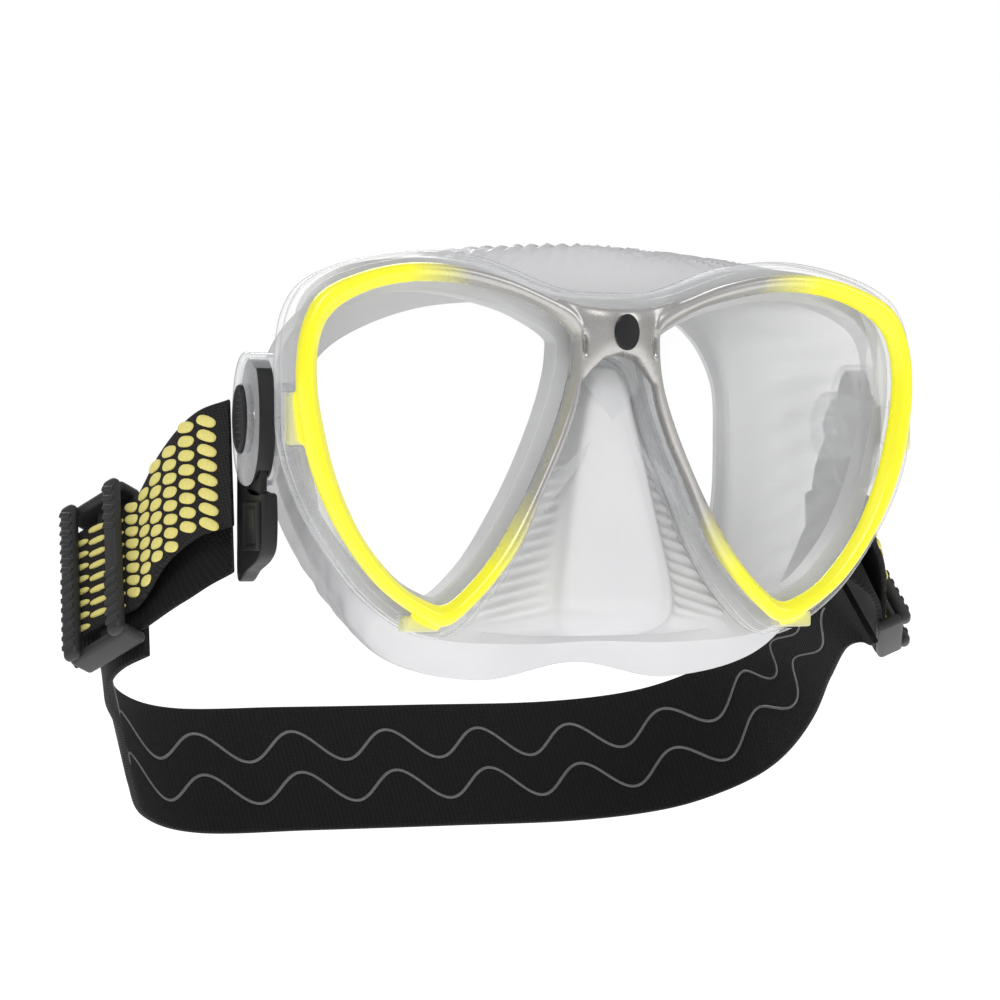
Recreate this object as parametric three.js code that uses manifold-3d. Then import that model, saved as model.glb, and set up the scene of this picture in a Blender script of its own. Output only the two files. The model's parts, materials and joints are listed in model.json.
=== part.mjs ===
// Snorkel mask with two lenses, a clear frame, a soft skirt and a swivelling strap.
// Millimetres. X runs to the wearer's left, Y back towards the head, Z up.
// The origin is the middle of the face opening, on the mask's plane of symmetry.
import * as THREE from "three";
import { mergeVertices } from "three/addons/utils/BufferGeometryUtils.js";
import Module from "manifold-3d";

const wasm = await Module();
wasm.setup();

// ---- Driving dimensions -------------------------------------------------------------------
// Depths are measured back from the bezel's front face, which stands this far ahead of the origin.
const FRONT_DISTANCE = 42;
const GAP = 0.35; // clearance between pieces that touch

const BEZEL_DEPTH = 3.7;
const LENS_FRONT = 4.3;
const LENS_THICKNESS = 3.5;
const LENS_OVERHANG = 2.0; // how far a lens reaches under the bezel
const FRAME_FRONT = 4.05;
const FRAME_BACK = 12;
const LIP_FRONT = 10.2; // the frame's rear lip, which holds the skirt's flange against the lens
const LIP_OVERHANG = 0.9;
const SKIRT_WALL = 1.9;
const SKIRT_FRONT = FRAME_BACK + 0.3;
const VISION_REACH = 2.2; // how far past its front face the skirt is cut open behind each lens
const VISION_INSET = 1.8; // the skirt shows as a band this wide inside the bezel

const PIVOT_DEPTH = 27.5; // the buckles turn about one line across the mask
const PIVOT_HEIGHT = 6.5;
const PIN_RADIUS = 2.6;
const EAR_X = [73.2, 76.6]; // the frame's ears, one on each side, that carry the buckles
const EAR_RADIUS = 8.6;
const BUCKLE_HALF_HEIGHT = 15.7;
const BUCKLE_HALF_LENGTH = 7.4;
const BUTTON_TRAVEL = 1.2;

const PATTERN_WEB_WIDTH = 30;
const INNER_WEB_WIDTH = 38;
const BACK_STRAP_WIDTH = 38.5;
const WEB_THICKNESS = 1.7;

// ---- Outlines of the right half (x, z), from the top of the symmetry plane round to its foot --
const BEZEL_HALF = [
  [0, 33.4], [9.5, 33.7], [20, 36.2], [30, 39.6], [42, 42], [54, 42.3], [66, 39.8], [76, 35],
  [80.6, 27], [82, 16], [80.8, 4], [77.5, -8], [71.5, -20], [63, -31], [54, -38], [45.5, -41.8],
  [37.5, -38], [30, -30.8], [24.5, -22], [18.8, -9], [13.3, 2.5], [9.6, 13], [7.6, 17.8], [4.5, 20.9],
  [0, 22],
];
const OPENING = [
  [11.5, 22], [12.5, 27.5], [22, 33], [32, 36], [43, 37.9], [54, 37.8], [64, 35.5], [72.5, 30.8],
  [76.2, 24], [76.8, 14], [75, 3], [71.5, -9], [65.5, -21], [57, -31], [50, -35.5], [44.7, -36.6],
  [39, -32.5], [33, -26], [28, -18.5], [22, -8], [16.5, 4], [13, 14],
];
const FRAME_HALF = [
  [0, 37], [10, 37.3], [17, 38.9], [25, 41.8], [34, 44.4], [46, 45.7], [58, 44.6], [70, 41.5],
  [78, 37.3], [82.3, 31], [84, 22], [84, 12], [83.4, 0], [79.6, -11.5], [73, -22.8], [64.8, -33.3],
  [55, -41], [46, -44.8], [40, -43.6], [35, -39.6], [28.3, -31.8], [22.8, -22.8], [17.1, -9.8],
  [11.6, 2], [8.4, 12.4], [6.4, 17.5], [3.6, 20.3], [0, 21.4],
];

// ---- Loops of the skirt's right half (x, depth, z), each with the same number of points -------
const SKIRT_AT_FRAME = [
  [0, 35.3], [17, 37.4], [34, 43], [50, 44.2], [68, 41], [78, 31.5], [77.4, 12], [75.4, -11.5],
  [63.5, -33], [46, -44], [22, -46.5], [0, -46],
].map(([x, z]) => [x, SKIRT_FRONT, z]);
const SKIRT_BROW = [
  [0, 20, 48.3], [19, 20, 47.6], [36, 20, 46.6], [51, 20, 44.6], [65, 20.5, 39.5], [72.6, 21.5, 28],
  [70.6, 22, 9], [70.4, 22.5, -12], [66, 22.5, -29.5], [51, 23, -49], [25, 24, -55], [0, 22, -50.8],
];
const SKIRT_MIDDLE = [
  [0, 26.5, 48], [21, 28, 47.2], [37, 32, 45.6], [51, 37, 42], [62, 41, 35.5], [69, 43, 25],
  [70, 44, 8], [68.6, 42, -12], [62.5, 38, -31], [50, 33, -47.5], [26, 29, -54], [0, 26.5, -51],
];
const SKIRT_RIM = [
  [0, 33, 44], [21, 36, 43.5], [37, 43, 42], [50, 51, 38], [60, 58, 31], [66, 61, 20],
  [67.5, 62, 5], [65, 58, -13], [58, 51, -30], [46, 43, -44], [25, 35, -50], [0, 31.5, -47],
];
const FACE_OPENING = [
  [0, 33.6, 36.5], [18.5, 36.5, 36], [33, 43, 34.5], [44, 50, 30.5], [52.5, 56, 24.5], [57.5, 59, 16],
  [58.5, 60, 4], [56, 56.5, -11], [49.5, 50, -25], [39, 42.5, -36.5], [21, 35, -41.5], [0, 31.7, -38.8],
];

// ---- The nose pocket's levels: height, half width and depth of its front -----------------------
const NOSE_LEVELS = [
  [19.6, 1.6, 7.5], [18, 4.2, 5.6], [13, 6.6, 4.6], [0, 10, 3.2], [-14, 13, 1.4], [-27, 15.6, -0.6],
  [-35, 17.2, -1.6], [-39.5, 17.4, -0.4], [-42.6, 15.4, 3.6], [-44, 11, 8.5],
];
const NOSE_WALL = 1.9;

// ---- Strap routes (x, depth, z) ------------------------------------------------------------------
// The webs of the wearer's left side run from the clip, then straight through the slider.
const SLIDER_CENTRE = [106, 66, -30];
const SLIDER_RUN = [0.468, 0.767, -0.438]; // the direction of the straight stretch
const STRAIGHT_HALF = 12.6;
const LAYER_STEP = 3.4; // from the middle of the outer web to the middle of the inner one
const PATTERN_WEB_START = [[84.6, 35.9, -3.6], [91, 42, -6.6], [96.2, 49.3, -14]];
const INNER_WEB_START = [[82.8, 40.6, -10.6], [87.2, 44.6, -14], [91.8, 49.8, -19.4]];
// The back strap runs from behind one slider, round the head, to behind the other.
const BACK_STRAP_ROUTE = [
  [-97.2, 59.5, -33.4], [-100.6, 67.5, -36.6], [-101.2, 76, -40.8], [-98.6, 87, -46.6], [-93, 99, -53.3],
  [-82.5, 120, -68.2], [-73, 134, -78], [-55, 141.5, -83.2], [-23, 142.2, -83.7], [18, 142.6, -84],
  [56, 142.6, -84], [82, 139, -81.5], [97.2, 131.5, -76.2], [105.2, 120.5, -69.2], [106.4, 107, -61],
  [102.6, 93, -53], [99.4, 80, -44.6], [99.2, 68.5, -37.2], [97.2, 59.5, -33.4],
];
const BACK_LEAN = 35; // degrees that the strap's width leans back round the head
const FRONT_LEAN = 5; // and at the clips
const SIDE_LEAN = 13; // degrees that it leans inboard at the sliders
const TWIST = 36; // and further back again, where the band turns up behind the wearer's left ear

const finishes = {
  frame: { color: 0xe9ecef, roughness: 0.08, metalness: 0, transparent: true, opacity: 0.5 },
  bezel: { color: 0xf2ee1e, roughness: 0.3, metalness: 0.1 },
  lens: { color: 0xf4f7f8, roughness: 0.02, metalness: 0, transparent: true, opacity: 0.3 },
  skirt: { color: 0xe4e4e6, roughness: 0.45, metalness: 0, transparent: true, opacity: 0.85 },
  badge: { color: 0x1d1d1f, roughness: 0.35, metalness: 0.2 },
  core: { color: 0x3b3b3d, roughness: 0.35, metalness: 0.1 },
  button: { color: 0x232325, roughness: 0.5, metalness: 0 },
  steel: { color: 0xb9bcc0, roughness: 0.25, metalness: 1 },
  clip: { color: 0x2a2a2c, roughness: 0.4, metalness: 0 },
  webbing: { color: 0x232122, roughness: 0.85, metalness: 0 },
  slider: { color: 0x3a3a3c, roughness: 0.4, metalness: 0 },
  strap: { color: 0x1c1a1b, roughness: 0.7, metalness: 0 },
};

// ---- Solids -------------------------------------------------------------------------------------
function solidOf(geometry) {
  geometry.deleteAttribute("normal");
  geometry.deleteAttribute("uv");
  const merged = mergeVertices(geometry, 1e-4);
  return new wasm.Manifold(
    new wasm.Mesh({
      numProp: 3,
      vertProperties: new Float32Array(merged.attributes.position.array),
      triVerts: new Uint32Array(merged.index.array),
    }),
  );
}

function geometryOf(solid) {
  const mesh = solid.getMesh();
  const geometry = new THREE.BufferGeometry();
  geometry.setAttribute("position", new THREE.BufferAttribute(mesh.vertProperties, 3));
  geometry.setIndex(new THREE.BufferAttribute(mesh.triVerts, 1));
  geometry.computeVertexNormals();
  return geometry;
}

// ---- Outlines -----------------------------------------------------------------------------------
function withMirrorHalf(half) {
  const inner = half.slice(1, -1).reverse();
  return [...half, ...inner.map(([x, ...rest]) => [-x, ...rest])];
}

function smoothLoop(points, perPoint) {
  const knots = points.map(([a, b, c = 0]) => new THREE.Vector3(a, b, c));
  const curve = new THREE.CatmullRomCurve3(knots, true, "catmullrom", 0.5);
  return curve.getPoints(points.length * perPoint).slice(0, -1);
}

const smoothOutline = (points, perPoint) =>
  smoothLoop(points, perPoint).map((p) => new THREE.Vector2(p.x, p.y));

// Moves each point of a closed outline along its own normal; a positive distance grows the outline.
function grown(outline, distance) {
  const side = THREE.ShapeUtils.isClockWise(outline) ? -distance : distance;
  return outline.map((point, i) => {
    const before = outline.at(i - 1);
    const after = outline[(i + 1) % outline.length];
    const along = after.clone().sub(before).normalize();
    return new THREE.Vector2(point.x + along.y * side, point.y - along.x * side);
  });
}

const mirroredOutline = (outline) => outline.map((p) => new THREE.Vector2(-p.x, p.y)).reverse();

// An oval with flattened sides; an exponent of 1 gives an ellipse.
function oval(centreX, centreY, halfX, halfY, steps, exponent = 1) {
  return Array.from({ length: steps }, (_, i) => {
    const angle = (2 * Math.PI * i) / steps;
    const cos = Math.cos(angle);
    const sin = Math.sin(angle);
    return new THREE.Vector2(
      centreX + halfX * Math.sign(cos) * Math.abs(cos) ** exponent,
      centreY + halfY * Math.sign(sin) * Math.abs(sin) ** exponent,
    );
  });
}

function roundedRectangle(centreX, centreY, halfX, halfY, radius) {
  const corners = [[1, 1, 0], [-1, 1, 1], [-1, -1, 2], [1, -1, 3]];
  return corners.flatMap(([sx, sy, quarter]) =>
    [0, 1, 2, 3].map((step) => {
      const angle = (Math.PI / 2) * (quarter + step / 3);
      return new THREE.Vector2(
        centreX + sx * (halfX - radius) + radius * Math.cos(angle),
        centreY + sy * (halfY - radius) + radius * Math.sin(angle),
      );
    }),
  );
}

// ---- Extrusions -----------------------------------------------------------------------------------
function extruded(outline, depth, bevel) {
  return new THREE.ExtrudeGeometry(new THREE.Shape(outline), {
    depth: depth - 2 * bevel,
    bevelEnabled: bevel > 0,
    bevelThickness: bevel,
    bevelSize: bevel,
    bevelOffset: -bevel,
    bevelSegments: 1,
    steps: 1,
  }).translate(0, 0, bevel);
}

// A plate that faces the front: its outline is (x, z) and it spans two depths.
function frontPlate(outline, nearDepth, farDepth, bevel = 0) {
  const geometry = extruded(outline, farDepth - nearDepth, bevel);
  return geometry.rotateX(Math.PI / 2).translate(0, farDepth, 0);
}

// A plate that faces the side: its outline is (depth, z) and it spans two distances from the middle.
function sidePlate(outline, nearX, farX, bevel = 0) {
  const turn = new THREE.Matrix4().makeBasis(
    new THREE.Vector3(0, 1, 0),
    new THREE.Vector3(0, 0, 1),
    new THREE.Vector3(1, 0, 0),
  );
  return extruded(outline, farX - nearX, bevel).applyMatrix4(turn).translate(nearX, 0, 0);
}

const box = (x0, x1, y0, y1, z0, z1) =>
  new THREE.BoxGeometry(x1 - x0, y1 - y0, z1 - z0).translate((x0 + x1) / 2, (y0 + y1) / 2, (z0 + z1) / 2);

// ---- Lofts ----------------------------------------------------------------------------------------
// Joins closed loops of equal length into one solid, with a fan of triangles over each end.
function loft(loops) {
  const count = loops[0].length;
  const positions = loops.flat().flatMap((p) => [p.x, p.y, p.z]);
  const index = [];
  for (let row = 0; row < loops.length - 1; row++) {
    for (let i = 0; i < count; i++) {
      const a = row * count + i;
      const b = row * count + ((i + 1) % count);
      index.push(a, b, a + count, b, b + count, a + count);
    }
  }
  for (const [row, turned] of [[0, true], [loops.length - 1, false]]) {
    const middle = loops[row].reduce((sum, p) => sum.add(p), new THREE.Vector3()).divideScalar(count);
    const centre = positions.push(middle.x, middle.y, middle.z) / 3 - 1;
    for (let i = 0; i < count; i++) {
      const a = row * count + i;
      const b = row * count + ((i + 1) % count);
      index.push(...(turned ? [centre, b, a] : [centre, a, b]));
    }
  }
  const geometry = new THREE.BufferGeometry();
  geometry.setAttribute("position", new THREE.Float32BufferAttribute(positions, 3));
  geometry.setIndex(index);
  return facingOut(geometry);
}

function facingOut(geometry) {
  const index = geometry.index.array;
  const p = geometry.attributes.position;
  const corner = (i) => new THREE.Vector3().fromBufferAttribute(p, index[i]);
  let volume = 0;
  for (let i = 0; i < index.length; i += 3) {
    volume += corner(i).dot(corner(i + 1).cross(corner(i + 2)));
  }
  if (volume < 0) index.reverse();
  return geometry;
}

// A flat band along a route, drawn as a loft of its cross sections. The function leanAt gives, for each
// share of the way, how many degrees the band's width leans back and how many it leans inboard.
function band(route, perPoint, width, thickness, leanAt) {
  const curve = new THREE.CatmullRomCurve3(route.map((p) => new THREE.Vector3(...p)));
  const steps = (route.length - 1) * perPoint;
  const soft = 0.5; // the size of the flats along the band's edges
  const corners = [
    [width / 2, thickness / 2 - soft], [width / 2 - soft, thickness / 2], [soft - width / 2, thickness / 2],
    [-width / 2, thickness / 2 - soft], [-width / 2, soft - thickness / 2],
    [soft - width / 2, -thickness / 2],
    [width / 2 - soft, -thickness / 2], [width / 2, soft - thickness / 2],
  ];
  const sections = curve.getPoints(steps).map((point, i) => {
    const along = curve.getTangent(i / steps);
    const up = leaning(...leanAt(i / steps));
    const across = new THREE.Vector3().crossVectors(along, up).normalize();
    return corners.map(([w, t]) => point.clone().addScaledVector(up, w).addScaledVector(across, t));
  });
  return loft(sections);
}

// ---- Front pieces -----------------------------------------------------------------------------------
const opening = smoothOutline(OPENING, 2);
const openings = [opening, mirroredOutline(opening)];
const eachEye = (distance) => openings.map((outline) => grown(outline, distance));
const frameOutline = smoothOutline(withMirrorHalf(FRAME_HALF), 2);

// Lugs on the bezel that snap into notches in the frame: x, z, half width and half height.
const LUGS = [
  [81.3, 6, 1.7, 6], [50, -41.1, 4.5, 1.9],
];
const LUG_FRONT = 3;
const LUG_BACK = 8;

function lugBoxes(margin) {
  return LUGS.flatMap(([x, z, halfX, halfZ]) =>
    [1, -1].map((side) =>
      solidOf(
        box(
          side * x - halfX - margin,
          side * x + halfX + margin,
          LUG_FRONT - margin,
          LUG_BACK + margin,
          z - halfZ - margin,
          z + halfZ + margin,
        ),
      ),
    ),
  );
}

// The pad of the bridge stands proud of the bezel and carries the badge.
const BRIDGE_RISE = 2.6;
const BRIDGE_PAD = [
  [-9.4, 32.6], [-6.5, 26], [-5.2, 22.6], [0, 22.9], [5.2, 22.6], [6.5, 26], [9.4, 32.6], [0, 32.9],
].map(([x, z]) => new THREE.Vector2(x, z));

function makeBezel() {
  const outline = smoothOutline(withMirrorHalf(BEZEL_HALF), 2);
  let bezel = solidOf(frontPlate(outline, 0, BEZEL_DEPTH, 1.1));
  for (const hole of openings) bezel = bezel.subtract(solidOf(frontPlate(hole, -1, BEZEL_DEPTH + 1)));
  bezel = bezel.add(solidOf(frontPlate(BRIDGE_PAD, -BRIDGE_RISE, BEZEL_DEPTH / 2, 0.9)));
  return geometryOf(lugBoxes(0).reduce((sum, lug) => sum.add(lug), bezel));
}

// Seen from above (x, depth), an ear is a strip that leaves the frame's side and turns inboard and back.
const EAR_STRIP = [
  [79.8, 9], [83, 9], [83, 12], [EAR_X[1], 18.5], [EAR_X[1], 37], [EAR_X[0], 37], [EAR_X[0], 19.4],
  [79.8, 12.7],
].map(([x, depth]) => new THREE.Vector2(x, depth));
const EAR_FRONT_DEPTH = 8;
const EAR_FOOT_HALF = 3.5; // it is narrower towards the frame, clear of the turning buckle

function makeEar() {
  const strip = extruded(EAR_STRIP, 2 * EAR_RADIUS, 0).translate(0, 0, PIVOT_HEIGHT - EAR_RADIUS);
  const round = oval(PIVOT_DEPTH, PIVOT_HEIGHT, EAR_RADIUS, EAR_RADIUS, 28);
  const end = round.filter((p) => p.x > PIVOT_DEPTH - 0.1);
  const foot = [1, -1].map((side) => new THREE.Vector2(EAR_FRONT_DEPTH, PIVOT_HEIGHT + side * EAR_FOOT_HALF));
  const byHeight = [...end].sort((a, b) => a.y - b.y);
  const side = solidOf(sidePlate([...byHeight, ...foot], EAR_X[0] - 1, EAR_X[1] + 10));
  const bore = solidOf(sidePlate(disc(PIN_RADIUS + GAP), EAR_X[0] - 1, EAR_X[1] + 1));
  return solidOf(strip).intersect(side).subtract(bore);
}

function makeFrame() {
  let frame = solidOf(frontPlate(frameOutline, FRAME_FRONT, FRAME_BACK, 1.2));
  for (const pocket of eachEye(LENS_OVERHANG + GAP)) {
    frame = frame.subtract(solidOf(frontPlate(pocket, 0, LIP_FRONT)));
  }
  for (const hole of eachEye(LIP_OVERHANG)) {
    frame = frame.subtract(solidOf(frontPlate(hole, 0, FRAME_BACK + 5)));
  }
  for (const notch of lugBoxes(GAP)) frame = frame.subtract(notch);
  const ear = makeEar();
  return geometryOf(frame.add(ear).add(ear.mirror([1, 0, 0])));
}

const lensGeometry = frontPlate(grown(opening, LENS_OVERHANG), LENS_FRONT, LENS_FRONT + LENS_THICKNESS, 0.4);

// ---- Skirt --------------------------------------------------------------------------------------------
const PER_SKIRT_POINT = 3;
const skirtLoop = (half) => smoothLoop(withMirrorHalf(half), PER_SKIRT_POINT);

// Shifts a loop's points towards the axis of the face opening, and along the depth.
function inset(loop, distance, deeper) {
  return loop.map((p) => {
    const reach = Math.hypot(p.x, p.z);
    const scale = (reach - distance) / reach;
    return new THREE.Vector3(p.x * scale, p.y + deeper, p.z * scale);
  });
}

function noseSection(height, halfWidth, front, back) {
  const steps = 14;
  return Array.from({ length: steps + 1 }, (_, i) => {
    const angle = (Math.PI * i) / steps;
    const cos = Math.cos(angle);
    const sin = Math.sin(angle);
    return new THREE.Vector3(
      halfWidth * Math.sign(cos) * Math.abs(cos) ** 0.8,
      back - (back - front) * Math.abs(sin) ** 0.8,
      height,
    );
  });
}

function makeSkirt() {
  const outer = [SKIRT_AT_FRAME, SKIRT_BROW, SKIRT_MIDDLE, SKIRT_RIM, FACE_OPENING].map(skirtLoop);
  const [atFrame, brow, middle, rim, face] = outer;
  let skirt = solidOf(loft(outer));

  for (const flange of eachEye(LENS_OVERHANG)) {
    const front = LENS_FRONT + LENS_THICKNESS + 0.3;
    skirt = skirt.add(solidOf(frontPlate(flange, front, LIP_FRONT - 0.3)));
  }
  for (const tube of eachEye(LIP_OVERHANG - GAP)) {
    skirt = skirt.add(solidOf(frontPlate(tube, LIP_FRONT - 1, SKIRT_FRONT + 1)));
  }
  const noseBack = SKIRT_FRONT + 1;
  skirt = skirt.add(solidOf(loft(NOSE_LEVELS.map(([z, w, front]) => noseSection(z, w, front, noseBack)))));

  const hollow = loft([
    inset(atFrame, SKIRT_WALL, SKIRT_WALL),
    inset(brow, SKIRT_WALL, 0.6),
    inset(middle, SKIRT_WALL, 0),
    inset(rim, SKIRT_WALL + 0.4, -SKIRT_WALL),
    inset(face, 0, -SKIRT_WALL),
    inset(face, 0, 12),
  ]);
  skirt = skirt.subtract(solidOf(hollow));
  const insideNose = NOSE_LEVELS.slice(1, -1).map(([z, w, front]) =>
    noseSection(z > 0 ? z - NOSE_WALL : z + NOSE_WALL * 0.4, w - NOSE_WALL, front + NOSE_WALL, noseBack + 6),
  );
  skirt = skirt.subtract(solidOf(loft(insideNose)));
  for (const view of eachEye(-VISION_INSET)) {
    skirt = skirt.subtract(solidOf(frontPlate(view, 2, SKIRT_FRONT + VISION_REACH)));
  }
  return geometryOf(skirt);
}

// ---- Buckle, on the wearer's left; the other side is its mirror image -----------------------------------
// From the ear outwards: flange, core, cover and button.
const FLANGE_X = [EAR_X[1] + GAP, 78.6];
const FLANGE_RADIUS = 8; // the round foot of the shell, beside the ear
const CORE_X = [FLANGE_X[1] + GAP, 83.5];
const COVER_X = [CORE_X[1] + GAP, 85.6];
const BUTTON_X = [COVER_X[0] + 0.25, COVER_X[1] + 0.8];
const PIN_X = [EAR_X[0] + 0.1, 80.2];
const PIN_HEAD_RADIUS = 3.8;
const PIN_HEAD_DEPTH = 1.1;
const BUTTON_HALF_LENGTH = 3.8;
const BUTTON_HALF_HEIGHT = 8;
const SPRING_RADIUS = 2.9;
const SPRING_WIRE = 0.8;
const SPRING_X = [PIN_X[1] + 0.4, BUTTON_X[0] - 0.4];
const CORE_INSET = 1.6; // how far the core's edge lies inside the shell's
const SHELL_WALL = 1.4;

const buckleOutline = (shrink) =>
  oval(PIVOT_DEPTH, PIVOT_HEIGHT, BUCKLE_HALF_LENGTH - shrink, BUCKLE_HALF_HEIGHT - shrink, 28, 0.9);
const buttonOutline = (grow) =>
  oval(PIVOT_DEPTH, PIVOT_HEIGHT, BUTTON_HALF_LENGTH + grow, BUTTON_HALF_HEIGHT + grow, 18);
const disc = (radius) => oval(PIVOT_DEPTH, PIVOT_HEIGHT, radius, radius, 16);

// A clear shell: an inner flange on the pivot, an outer cover round the button, and a wall behind and above
// that joins the two.
function makeBuckleShell() {
  const flange = solidOf(sidePlate(disc(FLANGE_RADIUS), ...FLANGE_X, 0.5));
  const cover = solidOf(sidePlate(buckleOutline(0), ...COVER_X, 0.9));
  const ring = solidOf(sidePlate(buckleOutline(0.2), FLANGE_X[1] - 0.5, COVER_X[0] + 0.5)).subtract(
    solidOf(sidePlate(buckleOutline(SHELL_WALL - 0.1), FLANGE_X[1] - 1, COVER_X[0] + 1)),
  );
  const openFront = solidOf(
    box(
      FLANGE_X[1], COVER_X[0],
      PIVOT_DEPTH - BUCKLE_HALF_LENGTH - 1, PIVOT_DEPTH + BUCKLE_HALF_LENGTH * 0.4,
      PIVOT_HEIGHT - BUCKLE_HALF_HEIGHT - 1, PIVOT_HEIGHT + BUCKLE_HALF_HEIGHT * 0.75,
    ),
  );
  const openFoot = solidOf(
    box(
      FLANGE_X[1], COVER_X[0],
      PIVOT_DEPTH - BUCKLE_HALF_LENGTH - 1, PIVOT_DEPTH + BUCKLE_HALF_LENGTH + 1,
      PIVOT_HEIGHT - BUCKLE_HALF_HEIGHT - 1, PIVOT_HEIGHT - BUCKLE_HALF_HEIGHT * 0.55,
    ),
  );
  const wall = ring.subtract(openFront).subtract(openFoot);
  const bore = solidOf(sidePlate(disc(PIN_RADIUS + GAP), FLANGE_X[0] - 1, FLANGE_X[1] + 0.3));
  const buttonHole = solidOf(sidePlate(buttonOutline(GAP), COVER_X[0] - 0.3, COVER_X[1] + 1));
  return geometryOf(flange.add(cover).add(wall).subtract(bore).subtract(buttonHole));
}

// A dark block inside the shell, with a bore for the pin's head and the spring, a pocket for the button
// and a slot for the clip's tongue.
function makeBuckleCore() {
  const bore = sidePlate(disc(PIN_HEAD_RADIUS + 0.5), CORE_X[0] - 1, CORE_X[1] + 1);
  const pocketFloor = BUTTON_X[0] - BUTTON_TRAVEL - GAP;
  const pocket = sidePlate(buttonOutline(0.4), pocketFloor, CORE_X[1] + 1);
  let core = solidOf(sidePlate(buckleOutline(CORE_INSET), ...CORE_X, 0.4));
  for (const cut of [bore, pocket, tongue(GAP)]) core = core.subtract(solidOf(cut));
  return geometryOf(core);
}

// The clip's tongue reaches up into the core's slot, below the pin.
const TONGUE_X = [80.1, 82];
const TONGUE_HALF_LENGTH = 3;
const TONGUE_TOP = PIVOT_HEIGHT - 7.2;
const TONGUE_FOOT = PIVOT_HEIGHT - 19;

function tongue(margin) {
  return box(
    TONGUE_X[0] - margin, TONGUE_X[1] + margin,
    PIVOT_DEPTH - TONGUE_HALF_LENGTH - margin, PIVOT_DEPTH + TONGUE_HALF_LENGTH + margin,
    TONGUE_FOOT, TONGUE_TOP + margin,
  );
}

// The clip's plate hangs below the buckle and reaches up behind it to hold the ends of both webs.
const CLIP_X = [78.6, 82.5];
const CLIP_OUTLINE = [
  [22.2, -11], [21.4, -14], [21.4, -20], [22.3, -24.2], [25.5, -26.8], [31, -28.8], [37.2, -31.2],
  [37.8, -20], [37.8, -5], [37.8, 8], [37.3, 10.6], [36, 10.6], [35.5, 8], [35.5, 3], [34.8, -2],
  [32.9, -7], [29.6, -10.1], [26, -10.8],
];
const PANEL_CENTRE = [27.6, -18.5];
const PANEL_HALF = [4.7, 5.7];
const PANEL_RISE = 0.9;

function makeClip() {
  const plate = solidOf(sidePlate(smoothOutline(CLIP_OUTLINE, 2), ...CLIP_X, 0.25));
  const panel = roundedRectangle(...PANEL_CENTRE, ...PANEL_HALF, 1);
  return geometryOf(
    plate.add(solidOf(sidePlate(panel, CLIP_X[1] - 1, CLIP_X[1] + PANEL_RISE, 0.3))).add(solidOf(tongue(0))),
  );
}

const makeButton = () => sidePlate(buttonOutline(0), ...BUTTON_X, 0.5);

function makePin() {
  const shaft = sidePlate(disc(PIN_RADIUS), ...PIN_X);
  const head = sidePlate(disc(PIN_HEAD_RADIUS), PIN_X[1] - PIN_HEAD_DEPTH, PIN_X[1]);
  return geometryOf(solidOf(shaft).add(solidOf(head)));
}

// A short coil spring along X between the pin's head and the button.
function makeSpring() {
  const turns = 2.5;
  const pointsPerTurn = 8;
  const low = SPRING_X[0] + SPRING_WIRE / 2;
  const rise = SPRING_X[1] - SPRING_X[0] - SPRING_WIRE;
  const count = turns * pointsPerTurn;
  const points = Array.from({ length: count + 1 }, (_, i) => {
    const angle = (2 * Math.PI * i) / pointsPerTurn;
    return new THREE.Vector3(
      low + (rise * i) / count,
      PIVOT_DEPTH + SPRING_RADIUS * Math.cos(angle),
      PIVOT_HEIGHT + SPRING_RADIUS * Math.sin(angle),
    );
  });
  const section = new THREE.Shape(oval(0, 0, SPRING_WIRE / 2, SPRING_WIRE / 2, 5));
  const extrudePath = new THREE.CatmullRomCurve3(points);
  return new THREE.ExtrudeGeometry(section, { steps: count, extrudePath });
}

// ---- Strap, on the wearer's left ------------------------------------------------------------------------
const sliderCentre = new THREE.Vector3(...SLIDER_CENTRE);
const run = new THREE.Vector3(...SLIDER_RUN).normalize();
const webUp = leaning(BACK_LEAN, SIDE_LEAN);
webUp.addScaledVector(run, -webUp.dot(run)).normalize();
const outward = new THREE.Vector3().crossVectors(run, webUp);

function leaning(back, inboard) {
  const [b, i] = [back, inboard].map(THREE.MathUtils.degToRad);
  const up = new THREE.Vector3(-Math.sin(i) * Math.cos(b), Math.sin(b), Math.cos(b));
  return up;
}

function straightStretch(out) {
  return [-STRAIGHT_HALF, -STRAIGHT_HALF * 0.4, STRAIGHT_HALF * 0.4, STRAIGHT_HALF].map((distance) =>
    sliderCentre.clone().addScaledVector(run, distance).addScaledVector(outward, out).toArray(),
  );
}

// The lean grows from the clip to the slider.
const webLean = (share) => {
  const grown = THREE.MathUtils.smoothstep(share, 0, 0.5);
  return [FRONT_LEAN + (BACK_LEAN - FRONT_LEAN) * grown, SIDE_LEAN * grown];
};
const backLean = (share) => {
  const nearRightSlider = 1 - THREE.MathUtils.smoothstep(share, 0.08, 0.25);
  const nearLeftSlider = THREE.MathUtils.smoothstep(share, 0.86, 1);
  const twistStarts = THREE.MathUtils.smoothstep(share, 0.7, 0.83);
  const twistEnds = THREE.MathUtils.smoothstep(share, 0.88, 1);
  const twisted = twistStarts * (1 - twistEnds);
  return [BACK_LEAN + TWIST * twisted, SIDE_LEAN * (nearLeftSlider - nearRightSlider)];
};

const makePatternWeb = () =>
  band([...PATTERN_WEB_START, ...straightStretch(0)], 3, PATTERN_WEB_WIDTH, WEB_THICKNESS, webLean);
const makeInnerWeb = () =>
  band([...INNER_WEB_START, ...straightStretch(-LAYER_STEP)], 3, INNER_WEB_WIDTH, WEB_THICKNESS, webLean);
const makeBackStrap = () => band(BACK_STRAP_ROUTE, 2, BACK_STRAP_WIDTH, WEB_THICKNESS, backLean);

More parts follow.
